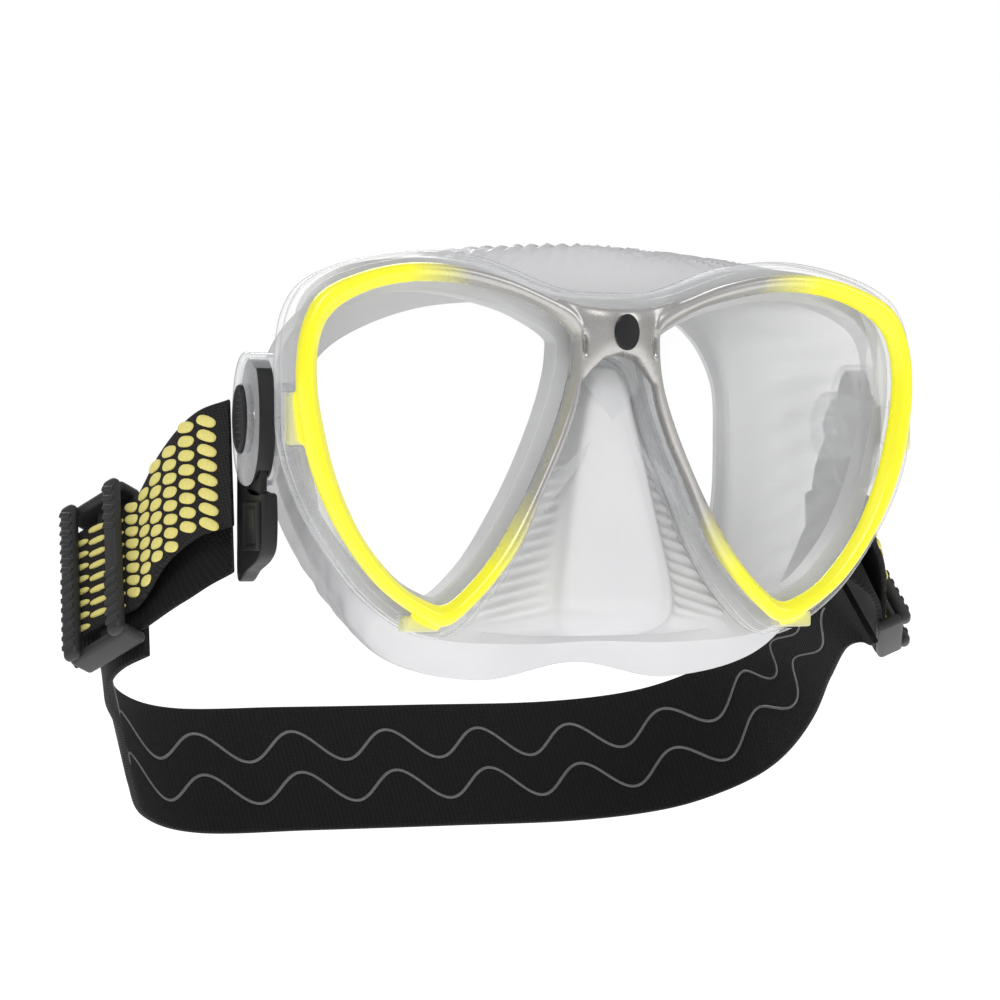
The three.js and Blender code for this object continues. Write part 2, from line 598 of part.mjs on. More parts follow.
// A ladder slider: two rails past the webs' edges, two ribbed bars over them and one bar between the layers.
const RAIL_WIDTH = 3;
const RAIL_FROM = INNER_WEB_WIDTH / 2 + 0.5;
const RAIL_TO = RAIL_FROM + RAIL_WIDTH;
const SLIDER_HALF_LENGTH = 9.6;
const BAR_HALF_WIDTH = 2.3;
const BAR_HALF_DEPTH = 1.6;
const MIDDLE_BAR_HALF_WIDTH = 2;
const SLIDER_UNDER = -LAYER_STEP - 1.6; // its inner and outer faces, from the middle of the outer web
const SLIDER_OVER = WEB_THICKNESS / 2 + 0.5;

function makeSlider() {
  const parts = [];
  for (const [low, high] of [[RAIL_FROM, RAIL_TO], [-RAIL_TO, -RAIL_FROM]]) {
    parts.push(box(-SLIDER_HALF_LENGTH, SLIDER_HALF_LENGTH, low, high, SLIDER_UNDER, SLIDER_OVER + 0.8));
  }
  for (const side of [1, -1]) {
    const centre = side * (SLIDER_HALF_LENGTH - BAR_HALF_WIDTH);
    const section = new THREE.Shape(roundedRectangle(0, 0, BAR_HALF_WIDTH, BAR_HALF_DEPTH, 1.1));
    const bar = new THREE.ExtrudeGeometry(section, { depth: 2 * RAIL_TO, bevelEnabled: false });
    parts.push(bar.rotateX(Math.PI / 2).translate(centre, RAIL_TO, SLIDER_OVER + BAR_HALF_DEPTH));
  }
  const between = (LAYER_STEP - WEB_THICKNESS) / 2 - GAP; // half the room for the middle bar
  parts.push(
    box(
      -MIDDLE_BAR_HALF_WIDTH, MIDDLE_BAR_HALF_WIDTH,
      1 - RAIL_TO, RAIL_TO - 1,
      -LAYER_STEP / 2 - between, -LAYER_STEP / 2 + between,
    ),
  );
  const slider = parts.map(solidOf).reduce((sum, part) => sum.add(part));
  return geometryOf(slider).applyMatrix4(
    new THREE.Matrix4().makeBasis(run, webUp, outward).setPosition(sliderCentre),
  );
}

// ---- Badge ------------------------------------------------------------------------------------------------
const BADGE_CENTRE = [0, 27.2];
const BADGE_HALF = [3.1, 4.3];
const BADGE_THICKNESS = 1;
const BADGE_BACK = -BRIDGE_RISE - 0.3;
const makeBadge = () =>
  frontPlate(oval(...BADGE_CENTRE, ...BADGE_HALF, 24), BADGE_BACK - BADGE_THICKNESS, BADGE_BACK, 0.3);

// ---- Assembly -----------------------------------------------------------------------------------
const mask = new THREE.Group();
mask.position.set(0, -FRONT_DISTANCE, 0);

function place(group, name, geometry, finish) {
  const mesh = new THREE.Mesh(geometry, new THREE.MeshStandardMaterial(finishes[finish]));
  mesh.name = name;
  group.add(mesh);
}

place(mask, "front_bezel", makeBezel(), "bezel");
place(mask, "clear_frame", makeFrame(), "frame");
place(mask, "skirt", makeSkirt(), "skirt");
place(mask, "bridge_badge", makeBadge(), "badge");
place(mask, "back_strap", makeBackStrap(), "strap");

const SIDE_PIECES = [
  ["lens", lensGeometry, "lens"],
  ["pivot_pin", makePin(), "steel"],
  ["buckle_shell", makeBuckleShell(), "frame"],
  ["buckle_core", makeBuckleCore(), "core"],
  ["release_button", makeButton(), "button"],
  ["button_spring", makeSpring(), "steel"],
  ["strap_clip", makeClip(), "clip"],
  ["pattern_web", makePatternWeb(), "webbing"],
  ["inner_web", makeInnerWeb(), "strap"],
  ["strap_slider", makeSlider(), "slider"],
];
for (const [side, sign] of [["left", 1], ["right", -1]]) {
  const half = new THREE.Group();
  half.scale.x = sign;
  mask.add(half);
  for (const [name, geometry, finish] of SIDE_PIECES) place(half, `${side}_${name}`, geometry, finish);
}

export default mask;
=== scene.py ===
"""A snorkel mask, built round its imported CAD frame: looks, fine meshes, materials, light and camera."""

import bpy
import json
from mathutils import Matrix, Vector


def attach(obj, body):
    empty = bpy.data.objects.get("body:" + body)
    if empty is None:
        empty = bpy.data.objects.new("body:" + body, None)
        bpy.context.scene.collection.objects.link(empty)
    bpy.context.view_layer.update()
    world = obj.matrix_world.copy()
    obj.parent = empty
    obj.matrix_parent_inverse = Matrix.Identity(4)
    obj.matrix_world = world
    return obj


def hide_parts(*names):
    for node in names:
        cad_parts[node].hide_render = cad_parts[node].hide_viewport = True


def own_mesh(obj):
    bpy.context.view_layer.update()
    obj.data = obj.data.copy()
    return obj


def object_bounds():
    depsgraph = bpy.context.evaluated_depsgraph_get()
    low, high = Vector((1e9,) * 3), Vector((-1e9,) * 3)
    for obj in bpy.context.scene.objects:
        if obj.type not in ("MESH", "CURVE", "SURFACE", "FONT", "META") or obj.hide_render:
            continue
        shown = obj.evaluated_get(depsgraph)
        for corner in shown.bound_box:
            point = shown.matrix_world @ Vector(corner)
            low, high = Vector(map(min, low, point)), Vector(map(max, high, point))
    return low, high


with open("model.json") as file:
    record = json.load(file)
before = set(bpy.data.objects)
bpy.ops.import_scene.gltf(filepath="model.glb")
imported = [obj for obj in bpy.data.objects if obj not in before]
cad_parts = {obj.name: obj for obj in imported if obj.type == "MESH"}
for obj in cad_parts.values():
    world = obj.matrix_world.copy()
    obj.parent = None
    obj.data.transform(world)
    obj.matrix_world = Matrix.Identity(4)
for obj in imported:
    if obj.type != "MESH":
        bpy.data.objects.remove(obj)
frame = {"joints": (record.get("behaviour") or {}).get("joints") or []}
cad_box = [list(corner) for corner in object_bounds()]

import json
import math

import bmesh
import bpy
import numpy as np
from mathutils import Matrix, Vector

MM = 0.001
SIDES = (("left", 1), ("right", -1))

# ---- The frame's own places ----
CREST_Y = -0.042  # the bezel's front face
JOINTS = {j["name"]: j for j in frame["joints"]}
PIVOT = Vector(JOINTS["strap_swing"]["pos_m"])
# The pivot from the side, in millimetres: depth behind the bezel's front face, and height.
PIVOT_DEPTH = (PIVOT.y - CREST_Y) / MM
PIVOT_HEIGHT = PIVOT.z / MM
PIVOT_PLACE = (PIVOT_DEPTH, PIVOT_HEIGHT)


def at_depth(depth):
    """The Y of a depth in millimetres behind the bezel's front face."""
    return CREST_Y + depth * MM


# ---- Camera ----
VIEW_AZIMUTH = math.radians(-26)
VIEW_ELEVATION = math.radians(-0.26)
VIEW_DISTANCE = 0.8527
SENSOR_WIDTH = 36
FOCAL_LENGTH = 132.05
VIEW_TARGET = Vector((-0.0318, CREST_Y, -0.0124))


def make_camera():
    a, e = VIEW_AZIMUTH, VIEW_ELEVATION
    back = Vector((math.sin(a) * math.cos(e), -math.cos(a) * math.cos(e), math.sin(e)))
    data = bpy.data.cameras.new("camera")
    data.sensor_width = SENSOR_WIDTH
    data.lens = FOCAL_LENGTH
    camera = bpy.data.objects.new("camera", data)
    bpy.context.scene.collection.objects.link(camera)
    camera.location = VIEW_TARGET + back * VIEW_DISTANCE
    camera.rotation_mode = "QUATERNION"
    camera.rotation_quaternion = (-back).to_track_quat("-Z", "Y")
    bpy.context.scene.camera = camera


# ---- Light ----
def make_light(name, place, size, power):
    """A rectangular lamp that faces the origin."""
    data = bpy.data.lights.new(name, "AREA")
    data.shape = "RECTANGLE"
    data.size, data.size_y = size
    data.energy = power
    lamp = bpy.data.objects.new(name, data)
    bpy.context.scene.collection.objects.link(lamp)
    lamp.location = Vector(place)
    lamp.rotation_mode = "QUATERNION"
    lamp.rotation_quaternion = (-Vector(place)).to_track_quat("-Z", "Y")


SKY = [(0.35, (0.32, 0.32, 0.33)), (0.8, (0.85, 0.85, 0.86))]
SKY_STRENGTH = 0.7


def make_world():
    """White behind the mask, and a soft grey gradient in its light and reflections."""
    world = bpy.data.worlds.new("studio")
    bpy.context.scene.world = world
    world.use_nodes = True
    world.node_tree.nodes.clear()
    w = Nodes(world.node_tree)
    height = w.node("SeparateXYZ", i0=w.node("TexCoord").outputs["Generated"]).outputs["Z"]
    share = w.node("Math", {"operation": "MULTIPLY_ADD"}, i0=height, i1=0.5, i2=0.5).outputs[0]
    lit = w.node("Background", Color=w.ramp(share, SKY), Strength=SKY_STRENGTH).outputs[0]
    seen = w.node("Background", Color=(1, 1, 1, 1), Strength=1.0).outputs[0]
    ray = w.node("LightPath").outputs["Is Camera Ray"]
    w.node("OutputWorld", Surface=w.node("MixShader", i0=ray, i1=lit, i2=seen).outputs[0])


# ---- Materials ----
class Nodes:
    """A node tree, with short ways to add shader nodes to it."""

    def __init__(self, tree):
        self.tree = tree

    def node(self, kind, settings=None, **inputs):
        """A new node. Each input is named, or is i and its number, and takes a value or another's output."""
        made = self.tree.nodes.new("ShaderNode" + kind)
        for key, value in (settings or {}).items():
            setattr(made, key, value)
        for key, value in inputs.items():
            socket = made.inputs[int(key[1:])] if key[0] == "i" and key[1:].isdigit() else made.inputs[key]
            if isinstance(value, bpy.types.NodeSocket):
                self.tree.links.new(value, socket)
            else:
                socket.default_value = value
        return made

    def ramp(self, value, stops):
        made = self.node("ValToRGB", Fac=value)
        elements = made.color_ramp.elements
        while len(elements) < len(stops):
            elements.new(0.5)
        for element, (position, color) in zip(elements, stops):
            element.position = position
            element.color = (*color, 1)
        return made.outputs["Color"]


class Shader(Nodes):
    """A principled material."""

    def __init__(self, name, color, roughness, **sockets):
        self.material = bpy.data.materials.new(name)
        self.material.use_nodes = True
        super().__init__(self.material.node_tree)
        self.base = self.tree.nodes["Principled BSDF"]
        self.base.inputs["Base Color"].default_value = (*color, 1)
        self.base.inputs["Roughness"].default_value = roughness
        for key, value in sockets.items():
            self.base.inputs[key.replace("_", " ")].default_value = value

    def wired(self, **outputs):
        """The material, with each output joined to the surface's input of that name."""
        for key, output in outputs.items():
            self.tree.links.new(output, self.base.inputs[key.replace("_", " ")])
        return self.material

    def place(self):
        return self.node("TexCoord").outputs["Object"]

    def split(self, vector=None):
        return self.node("SeparateXYZ", Vector=vector or self.place()).outputs

    def facing(self, blend):
        return self.node("LayerWeight", Blend=blend).outputs["Facing"]

    def noise(self, scale, detail=3, vector=None):
        inputs = {"Scale": scale, "Detail": detail}
        return self.node("TexNoise", Vector=vector or self.place(), **inputs).outputs["Fac"]

    def math(self, operation, a, b=0.0):
        return self.node("Math", {"operation": operation}, i0=a, i1=b).outputs[0]

    def spread(self, value, low, high):
        """A value of 0 to 1 spread over another range."""
        return self.node("MapRange", Value=value, i3=low, i4=high).outputs[0]

    def share(self, value, start, end, low=0.0, high=1.0):
        """How far a value is from start to end, kept to that range, as low to high."""
        return self.node("MapRange", Value=value, i1=start, i2=end, i3=low, i4=high).outputs[0]

    def mix(self, factor, a, b):
        made = self.node("Mix", {"data_type": "RGBA"}, i0=factor)
        for socket, value in ((made.inputs[6], a), (made.inputs[7], b)):
            if isinstance(value, bpy.types.NodeSocket):
                self.tree.links.new(value, socket)
            else:
                socket.default_value = (*value, 1)
        return made.outputs[2]

    def bump(self, height, distance, strength):
        return self.node("Bump", Height=height, Distance=distance, Strength=strength).outputs["Normal"]

CLEAR_IOR = 1.5
# The bezel's silver ends where |x| is the slant times z plus the edge, and fades over a stretch, in metres.
PAINT_SLANT = 0.32
PAINT_EDGE = 0.0322
PAINT_FADE = (-0.006, 0.010)
FLANK_FROM_TO = (0.056, 0.070)


def clear_material():
    """Clear polycarbonate: solid at grazing angles, where painted shade makes it dark in place of refraction,
    and nearly invisible face on.
    """
    s = Shader("clear_plastic", (0.9, 0.91, 0.92), 0.05, IOR=CLEAR_IOR)
    edge = s.facing(0.5)
    solid = s.math("ADD", s.math("POWER", edge, 2.4), s.math("MULTIPLY", s.noise(90, 2), 0.1))
    # Painted shade: the colour goes from a pale veil face on to near black at grazing angles, standing in for
    # refraction.
    edge_shade_stops = [
        (0.0, (0.93, 0.94, 0.95)), (0.55, (0.84, 0.85, 0.87)), (0.85, (0.34, 0.35, 0.37)),
        (1.0, (0.07, 0.072, 0.078)),
    ]
    return s.wired(
        Alpha=s.spread(solid, 0.06, 0.92),
        Base_Color=s.ramp(edge, edge_shade_stops),
        Roughness=s.spread(s.noise(350, 4), 0.03, 0.1),
        Normal=s.bump(s.noise(420, 3), 0.00003, 0.3),
    )


def lens_material():
    s = Shader("lens", (0.97, 0.98, 0.98), 0.02, IOR=CLEAR_IOR)
    edge = s.facing(0.3)
    return s.wired(
        Alpha=s.spread(s.math("POWER", edge, 2.0), 0.06, 0.9),
        Base_Color=s.ramp(edge, [(0.0, (0.97, 0.98, 0.98)), (1.0, (0.6, 0.66, 0.66))]),
        Roughness=s.spread(s.noise(60, 5), 0.01, 0.05),
    )


def bezel_material():
    """Yellow that fades to silver at the bridge and along the inner upper rims."""
    s = Shader("bezel", (0.9, 0.86, 0.03), 0.28, Coat_Weight=0.35, Coat_Roughness=0.12)
    split = s.split()
    # Silver inside a slanted line: it runs outwards along the top and down the inner legs.
    edge = s.math("ADD", s.math("MULTIPLY", split["Z"], PAINT_SLANT), PAINT_EDGE)
    past = s.math("SUBTRACT", s.math("ABSOLUTE", split["X"]), edge)
    wave = s.math("MULTIPLY", s.math("SUBTRACT", s.noise(40, 2), 0.5), 0.004)
    share = s.share(s.math("ADD", past, wave), *PAINT_FADE)
    grain = s.noise(900, 4)
    yellow = s.mix(grain, (0.87, 0.83, 0.008), (0.93, 0.89, 0.02))
    silver = s.mix(grain, (0.40, 0.39, 0.375), (0.48, 0.47, 0.455))
    # The lugs behind the bezel's back face are unpainted and paler.
    behind = s.share(split["Y"], at_depth(3.5), at_depth(3.65))
    return s.wired(
        Base_Color=s.mix(behind, s.mix(share, silver, yellow), (0.86, 0.85, 0.45)),
        Alpha=s.spread(behind, 1.0, 0.55),
        Metallic=s.spread(share, 0.75, 0.0),
        Roughness=s.spread(s.noise(300, 4), 0.22, 0.36),
        Normal=s.bump(grain, 0.00002, 0.35),
    )


def silicone_material():
    """Milky translucent silicone, clearer where it is seen face on, with painted shade darkening it towards
    grazing angles.
    """
    s = Shader("silicone", (0.86, 0.86, 0.87), 0.38, Sheen_Weight=0.15)
    cloud = s.noise(45, 3)
    edge = s.facing(0.5)
    # Painted shade: the colour darkens towards grazing angles, with random cloudy tone mixed in.
    shadow = s.math("ADD", s.math("MULTIPLY", edge, 0.75), s.math("MULTIPLY", cloud, 0.2))
    edge_shade_stops = [(0.0, (0.76, 0.76, 0.765)), (0.4, (0.66, 0.66, 0.67)), (1.0, (0.24, 0.24, 0.25))]
    milk = s.spread(s.math("ADD", edge, s.math("MULTIPLY", cloud, 0.15)), 0.66, 1.0)
    # The flanks beside the buckles are clearer than the brow and the nose pocket.
    flank = s.share(s.math("ABSOLUTE", s.split()["X"]), *FLANK_FROM_TO, 1.0, 0.45)
    return s.wired(
        Base_Color=s.ramp(shadow, edge_shade_stops),
        Alpha=s.math("MULTIPLY", milk, flank),
        Roughness=s.spread(cloud, 0.3, 0.46),
        Normal=s.bump(s.noise(1600, 2), 0.00003, 0.3),
    )


def dark_plastic(name, color, roughness):
    s = Shader(name, color, roughness, Specular_IOR_Level=0.3)
    patch = s.noise(60, 3)
    light = tuple(c * 1.4 + 0.002 for c in color)
    return s.wired(
        Base_Color=s.mix(patch, color, light),
        Roughness=s.spread(patch, roughness - 0.07, roughness + 0.1),
        Normal=s.bump(s.noise(900, 4), 0.00004, 0.5),
    )


def steel_material():
    s = Shader("steel", (0.62, 0.63, 0.65), 0.25, Metallic=1.0)
    stretch = s.node("Mapping", Vector=s.place(), Scale=(40, 900, 900))
    brushed = s.noise(1.5, 4, stretch.outputs[0])
    return s.wired(Roughness=s.spread(brushed, 0.15, 0.4), Normal=s.bump(brushed, 0.00003, 0.4))


def woven_material(name, dark, light, along, across, roughness):
    """Ribs across the band and finer threads along it, read from the band's own UVs in millimetres."""
    s = Shader(name, dark, roughness, Sheen_Weight=0.02, Specular_IOR_Level=0.12)
    uv = s.node("UVMap", {"uv_map": "UVMap"}).outputs[0]
    rib, thread = (
        s.math("SINE", s.math("MULTIPLY", s.split(uv)[axis], 2 * math.pi / pitch))
        for axis, pitch in (("X", along), ("Y", across))
    )
    weave = s.math("ADD", s.math("MULTIPLY", rib, 0.5), s.math("MULTIPLY", thread, 0.5))
    fuzz = s.noise(1.6, 4, uv)
    height = s.math("ADD", weave, s.math("MULTIPLY", fuzz, 0.6))
    return s.wired(
        Base_Color=s.mix(s.share(height, -1.0, 1.5), dark, light),
        Roughness=s.spread(fuzz, roughness - 0.12, roughness + 0.12),
        Normal=s.bump(height, 0.00012, 0.8),
    )


def pill_material():
    """Pale yellow satin yarn of the raised pills."""
    s = Shader("pill_yarn", (0.76, 0.69, 0.26), 0.55, Specular_IOR_Level=0.2)
    yarn = s.noise(2200, 3)
    return s.wired(
        Base_Color=s.mix(yarn, (0.60, 0.52, 0.11), (0.84, 0.76, 0.30)),
        Roughness=s.spread(yarn, 0.45, 0.7),
        Normal=s.bump(yarn, 0.0001, 0.8),
    )


def grip_material():
    s = Shader("grip_silicone", (0.06, 0.06, 0.063), 0.35)
    speck = s.noise(700, 3)
    color = s.mix(speck, (0.085, 0.085, 0.088), (0.16, 0.16, 0.165))
    return s.wired(Base_Color=color, Roughness=s.spread(speck, 0.28, 0.45))


def floor_material():
    white = {"Emission_Color": (1, 1, 1, 1), "Emission_Strength": 0.6}
    s = Shader("floor", (0.9, 0.9, 0.9), 0.6, **white)
    color = s.mix(s.noise(3, 2), (0.89, 0.89, 0.89), (0.91, 0.91, 0.91))
    return s.wired(Base_Color=color, Roughness=s.spread(s.noise(20, 3), 0.55, 0.65))


MATERIALS = {
    "clear": clear_material(),
    "lens": lens_material(),
    "bezel": bezel_material(),
    "silicone": silicone_material(),
    "badge": dark_plastic("badge", (0.008, 0.008, 0.009), 0.35),
    "core": dark_plastic("core", (0.018, 0.018, 0.019), 0.28),
    "button": dark_plastic("button", (0.008, 0.008, 0.009), 0.45),
    "clip": dark_plastic("clip", (0.012, 0.012, 0.013), 0.36),
    "slider": dark_plastic("slider", (0.02, 0.02, 0.021), 0.4),
    "steel": steel_material(),
    "webbing": woven_material("webbing", (0.008, 0.0075, 0.0075), (0.03, 0.028, 0.028), 0.9, 0.7, 0.8),
    "elastic": woven_material("elastic", (0.004, 0.0037, 0.0037), (0.014, 0.0125, 0.0125), 1.3, 0.55, 0.65),
    "pill": pill_material(),
    "grip": grip_material(),
    "floor": floor_material(),
}


# ---- Curves and outlines ----
def spline(points, per, closed):
    """A Catmull-Rom curve through the points, with this many steps to each stretch."""
    p = np.array(points, float)
    n = len(p)
    made = []
    for i in range(n if closed else n - 1):
        a, b, c, d = (p[j % n] if closed else p[min(max(j, 0), n - 1)] for j in (i - 1, i, i + 1, i + 2))
        if not closed and i == 0:
            a = 2 * b - c
        if not closed and i == n - 2:
            d = 2 * c - b
        for k in range(per):
            t = k / per
            square, cube = 2 * a - 5 * b + 4 * c - d, 3 * b - a - 3 * c + d
            made.append(0.5 * (2 * b + (c - a) * t + square * t**2 + cube * t**3))
    if not closed:
        made.append(p[-1])
    return np.array(made)


def mirrored_half(half):
    """A closed outline from its right half, whose first and last points lie on the middle."""
    return list(half) + [(-p[0], *p[1:]) for p in half[-2:0:-1]]


def grown(outline, distance):
    """Each point of a closed (x, z) outline moved out along its own normal."""
    p = np.array(outline, float)
    along = np.roll(p, -1, 0) - np.roll(p, 1, 0)
    along /= np.linalg.norm(along, axis=1)[:, None]
    normal = np.stack([along[:, 1], -along[:, 0]], 1)
    area = np.sum(p[:, 0] * np.roll(p[:, 1], -1) - np.roll(p[:, 0], -1) * p[:, 1])
    return p + normal * distance * (1 if area > 0 else -1)


# ---- Meshes ----
def new_object(name, vertices, faces, material, sharp=40):
    """An object from points in millimetres behind the bezel (x, depth, z)."""
    data = bpy.data.meshes.new(name)
    placed = [(x * MM, at_depth(y), z * MM) for x, y, z in vertices]
    data.from_pydata(placed, [], [tuple(int(i) for i in f) for f in faces])
    made = bpy.data.objects.new(name, data)
    bpy.context.scene.collection.objects.link(made)
    if material:
        data.materials.append(MATERIALS[material])
    tidy(made)
    shade(made, sharp)
    return made


def tidy(made):
    bm = bmesh.new()
    bm.from_mesh(made.data)
    bmesh.ops.remove_doubles(bm, verts=bm.verts, dist=1e-6)
    bmesh.ops.recalc_face_normals(bm, faces=bm.faces)
    bm.to_mesh(made.data)
    bm.free()


def shade(made, sharp=40):
    made.data.shade_smooth()
    made.data.set_sharp_from_angle(angle=math.radians(sharp))


def finish_piece(made, body, slot, *replaced):
    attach(made, body)
    if replaced:
        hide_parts(*replaced)


def apply_modifiers(made):
    graph = bpy.context.evaluated_depsgraph_get()
    data = bpy.data.meshes.new_from_object(made.evaluated_get(graph))
    made.modifiers.clear()
    made.data = data


def boolean(made, other, operation):
    modifier = made.modifiers.new("boolean", "BOOLEAN")
    modifier.operation = operation
    modifier.solver = "MANIFOLD"
    modifier.object = other
    apply_modifiers(made)
    bpy.data.objects.remove(other)
    return made


def add(made, other):
    return boolean(made, other, "UNION")


def cut(made, other):
    return boolean(made, other, "DIFFERENCE")


def quads(rows, count, wraps=False):
    """The faces between rows of points, each row a closed ring, and wraps joins the last row to the first."""
    faces = []
    for row in range(rows if wraps else rows - 1):
        after = (row + 1) % rows
        for i in range(count):
            j = (i + 1) % count
            faces.append((row * count + i, row * count + j, after * count + j, after * count + i))
    return faces


def loft(name, loops, material=None, sharp=50):
    """One skin over closed loops of equal length, with a fan over each end."""
    count = len(loops[0])
    vertices = [tuple(p) for loop in loops for p in loop]
    faces = quads(len(loops), count)
    for row in (0, len(loops) - 1):
        vertices.append(tuple(np.mean(np.array(loops[row]), axis=0)))
        centre = len(vertices) - 1
        faces += [(row * count + i, row * count + (i + 1) % count, centre) for i in range(count)]
    return new_object(name, vertices, faces, material, sharp)


def oval(centre, half, count, exponent=1.0):
    angles = np.arange(count) * 2 * math.pi / count
    turns = (np.cos(angles), np.sin(angles))
    return np.stack([c + h * np.sign(t) * np.abs(t) ** exponent for c, h, t in zip(centre, half, turns)], 1)


# ---- Outlines shared with the frame (x, z), in millimetres, for the wearer's left ----
OPENING = [
    (11.5, 22), (12.5, 27.5), (22, 33), (32, 36), (43, 37.9), (54, 37.8), (64, 35.5), (72.5, 30.8),
    (76.2, 24), (76.8, 14), (75, 3), (71.5, -9), (65.5, -21), (57, -31), (50, -35.5), (44.7, -36.6),
    (39, -32.5), (33, -26), (28, -18.5), (22, -8), (16.5, 4), (13, 14),
]
BEZEL_RIM = [  # point for point across from the opening
    (9.6, 27), (11.5, 32.2), (20, 36), (30, 39.6), (42, 42), (54, 42.3), (66, 39.8), (76, 35),
    (80.6, 27), (82, 16), (80.8, 4), (77.5, -8), (71.5, -20), (63, -31), (54, -38), (45.5, -41.8),
    (38.5, -37.5), (31, -30), (25, -22), (19, -9), (13.5, 2.5), (10, 14),
]
FRAME_HALF = [
    (0, 37), (10, 37.3), (17, 38.9), (25, 41.8), (34, 44.4), (46, 45.7), (58, 44.6), (70, 41.5),
    (78, 37.3), (82.3, 31), (84, 22), (84, 12), (83.4, 0), (79.6, -11.5), (73, -22.8), (64.8, -33.3),
    (55, -41), (46, -44.8), (40, -43.6), (35, -39.6), (28.3, -31.8), (22.8, -22.8), (17.1, -9.8),
    (11.6, 2), (8.4, 12.4), (6.4, 17.5), (3.6, 20.3), (0, 21.4),
]
FRAME_BACK = 12
PER_POINT = 8
EDGE_STEPS = 5
opening = spline(OPENING, PER_POINT, True)
frame_outline = spline(mirrored_half(FRAME_HALF), PER_POINT, True)


def on_side(made, sign):
    """An object of the wearer's left (1), or turned into its mirror image for the right (-1)."""
    if sign < 0:
        bm = bmesh.new()
        bm.from_mesh(made.data)
        for vertex in bm.verts:
            vertex.co.x = -vertex.co.x
        bmesh.ops.reverse_faces(bm, faces=bm.faces)
        bm.to_mesh(made.data)
        bm.free()
    return made


def profiled(name, outline, rows, material=None, side_on=False):
    """A body whose outline is drawn in by a different amount at each place of rows of (place, inset).

    The outline is in (x, z) and the places are depths, or side_on it is in (depth, z) and they are x."""
    loops = []
    for place, inset in rows:
        ring = grown(outline, -inset)
        loops.append([(place, u, v) if side_on else (u, place, v) for u, v in ring])
    return loft(name, loops, material, sharp=35)


def rounded_rows(near, far, radius):
    """The rows of a plate with rounded edges, for profiled()."""
    turn = [math.pi / 2 * i / EDGE_STEPS for i in range(EDGE_STEPS + 1)]
    first = [(near + radius * (1 - math.cos(a)), radius * (1 - math.sin(a))) for a in turn]
    return first + [(far + near - place, inset) for place, inset in reversed(first)]


def rounded_box(name, centre, half, radius, axes=None, material=None, segments=3):
    """A box with rounded edges at a centre, on three unit vectors."""
    bm = bmesh.new()
    bmesh.ops.create_cube(bm, size=2)
    for vertex in bm.verts:
        vertex.co = Vector([vertex.co[i] * half[i] for i in range(3)])
    bmesh.ops.bevel(
        bm, geom=list(bm.edges), offset=radius, offset_type="OFFSET", segments=segments, profile=0.5,
        affect="EDGES",
    )
    axes = axes or (Vector((1, 0, 0)), Vector((0, 1, 0)), Vector((0, 0, 1)))
    turn = Matrix([list(a) for a in axes]).transposed()
    vertices = [Vector(centre) + turn @ vertex.co for vertex in bm.verts]
    faces = [[v.index for v in face.verts] for face in bm.faces]
    bm.free()
    return new_object(name, vertices, faces, material)


# ---- Bezel ----
BEZEL_DEPTH = 3.7
# Across the rim from the outside (0) to the opening (1), and the depth there.
BEZEL_SECTION = [
    (0, 3.7), (0, 1.9), (0.03, 1.25), (0.10, 0.62), (0.2, 0.22), (0.32, 0.03), (0.44, 0), (0.55, 0.1),
    (0.62, 0.32), (0.70, 0.78), (0.85, 1.6), (0.95, 2.15), (1, 2.5), (1, 3.7),
]
BRIDGE_TOP = [(0, 33.2), (4, 33.2), (9.5, 33.5), (11, 33.9), (13, 34.4), (16, 35.2)]
BRIDGE_FOOT = [(0, 22), (4.5, 20.9), (7.6, 17.8), (9.6, 15.2), (11, 15.4), (12.6, 20), (14, 25.5), (16, 31.5)]
BRIDGE_BULGE = 2.7
BRIDGE_SUNK = 1.1
BRIDGE_ROOT = 2.4
BRIDGE_SECTIONS = 65
LUGS = [(81.3, 6, 1.7, 6), (50, -41.1, 4.5, 1.9)]
LUG_SPAN = (3.6, 8)
BRIDGE_HALF = 16
CREST_TO_OPENING = 2.6
BEZEL_VOXEL = 0.42 * MM


def bezel_ring(name):
    outer = spline(BEZEL_RIM, PER_POINT, True)
    vertices = []
    for rim, edge in zip(outer, opening):
        for share, depth in BEZEL_SECTION:
            x, z = rim + (edge - rim) * share
            vertices.append((x, depth, z))
    return new_object(name, vertices, quads(len(outer), len(BEZEL_SECTION), True), "bezel", 50)


def bridge(name):
    """The bulge between the two rings, as sections from one side to the other."""
    loops = []
    for x in np.linspace(-BRIDGE_HALF, BRIDGE_HALF, BRIDGE_SECTIONS):
        top, foot = (np.interp(abs(x), *np.array(line, float).T) for line in (BRIDGE_TOP, BRIDGE_FOOT))
        away = float(smoothstep(abs(x), 1, 13))
        bulge = BRIDGE_BULGE * (1 - away) - BRIDGE_SUNK * away
        middle = (top + foot) / 2
        half = (top - foot) / 2
        loop = []
        for k in range(25):
            angle = math.pi * k / 24
            height = middle + half * math.copysign(abs(math.cos(angle)) ** 0.55, math.cos(angle))
            loop.append((x, BRIDGE_ROOT - (BRIDGE_ROOT + bulge) * math.sin(angle) ** 0.5, height))
        loop += [(x, BEZEL_DEPTH, foot), (x, BEZEL_DEPTH, top)]
        loops.append(loop)
    return loft(name, loops, "bezel", sharp=50)


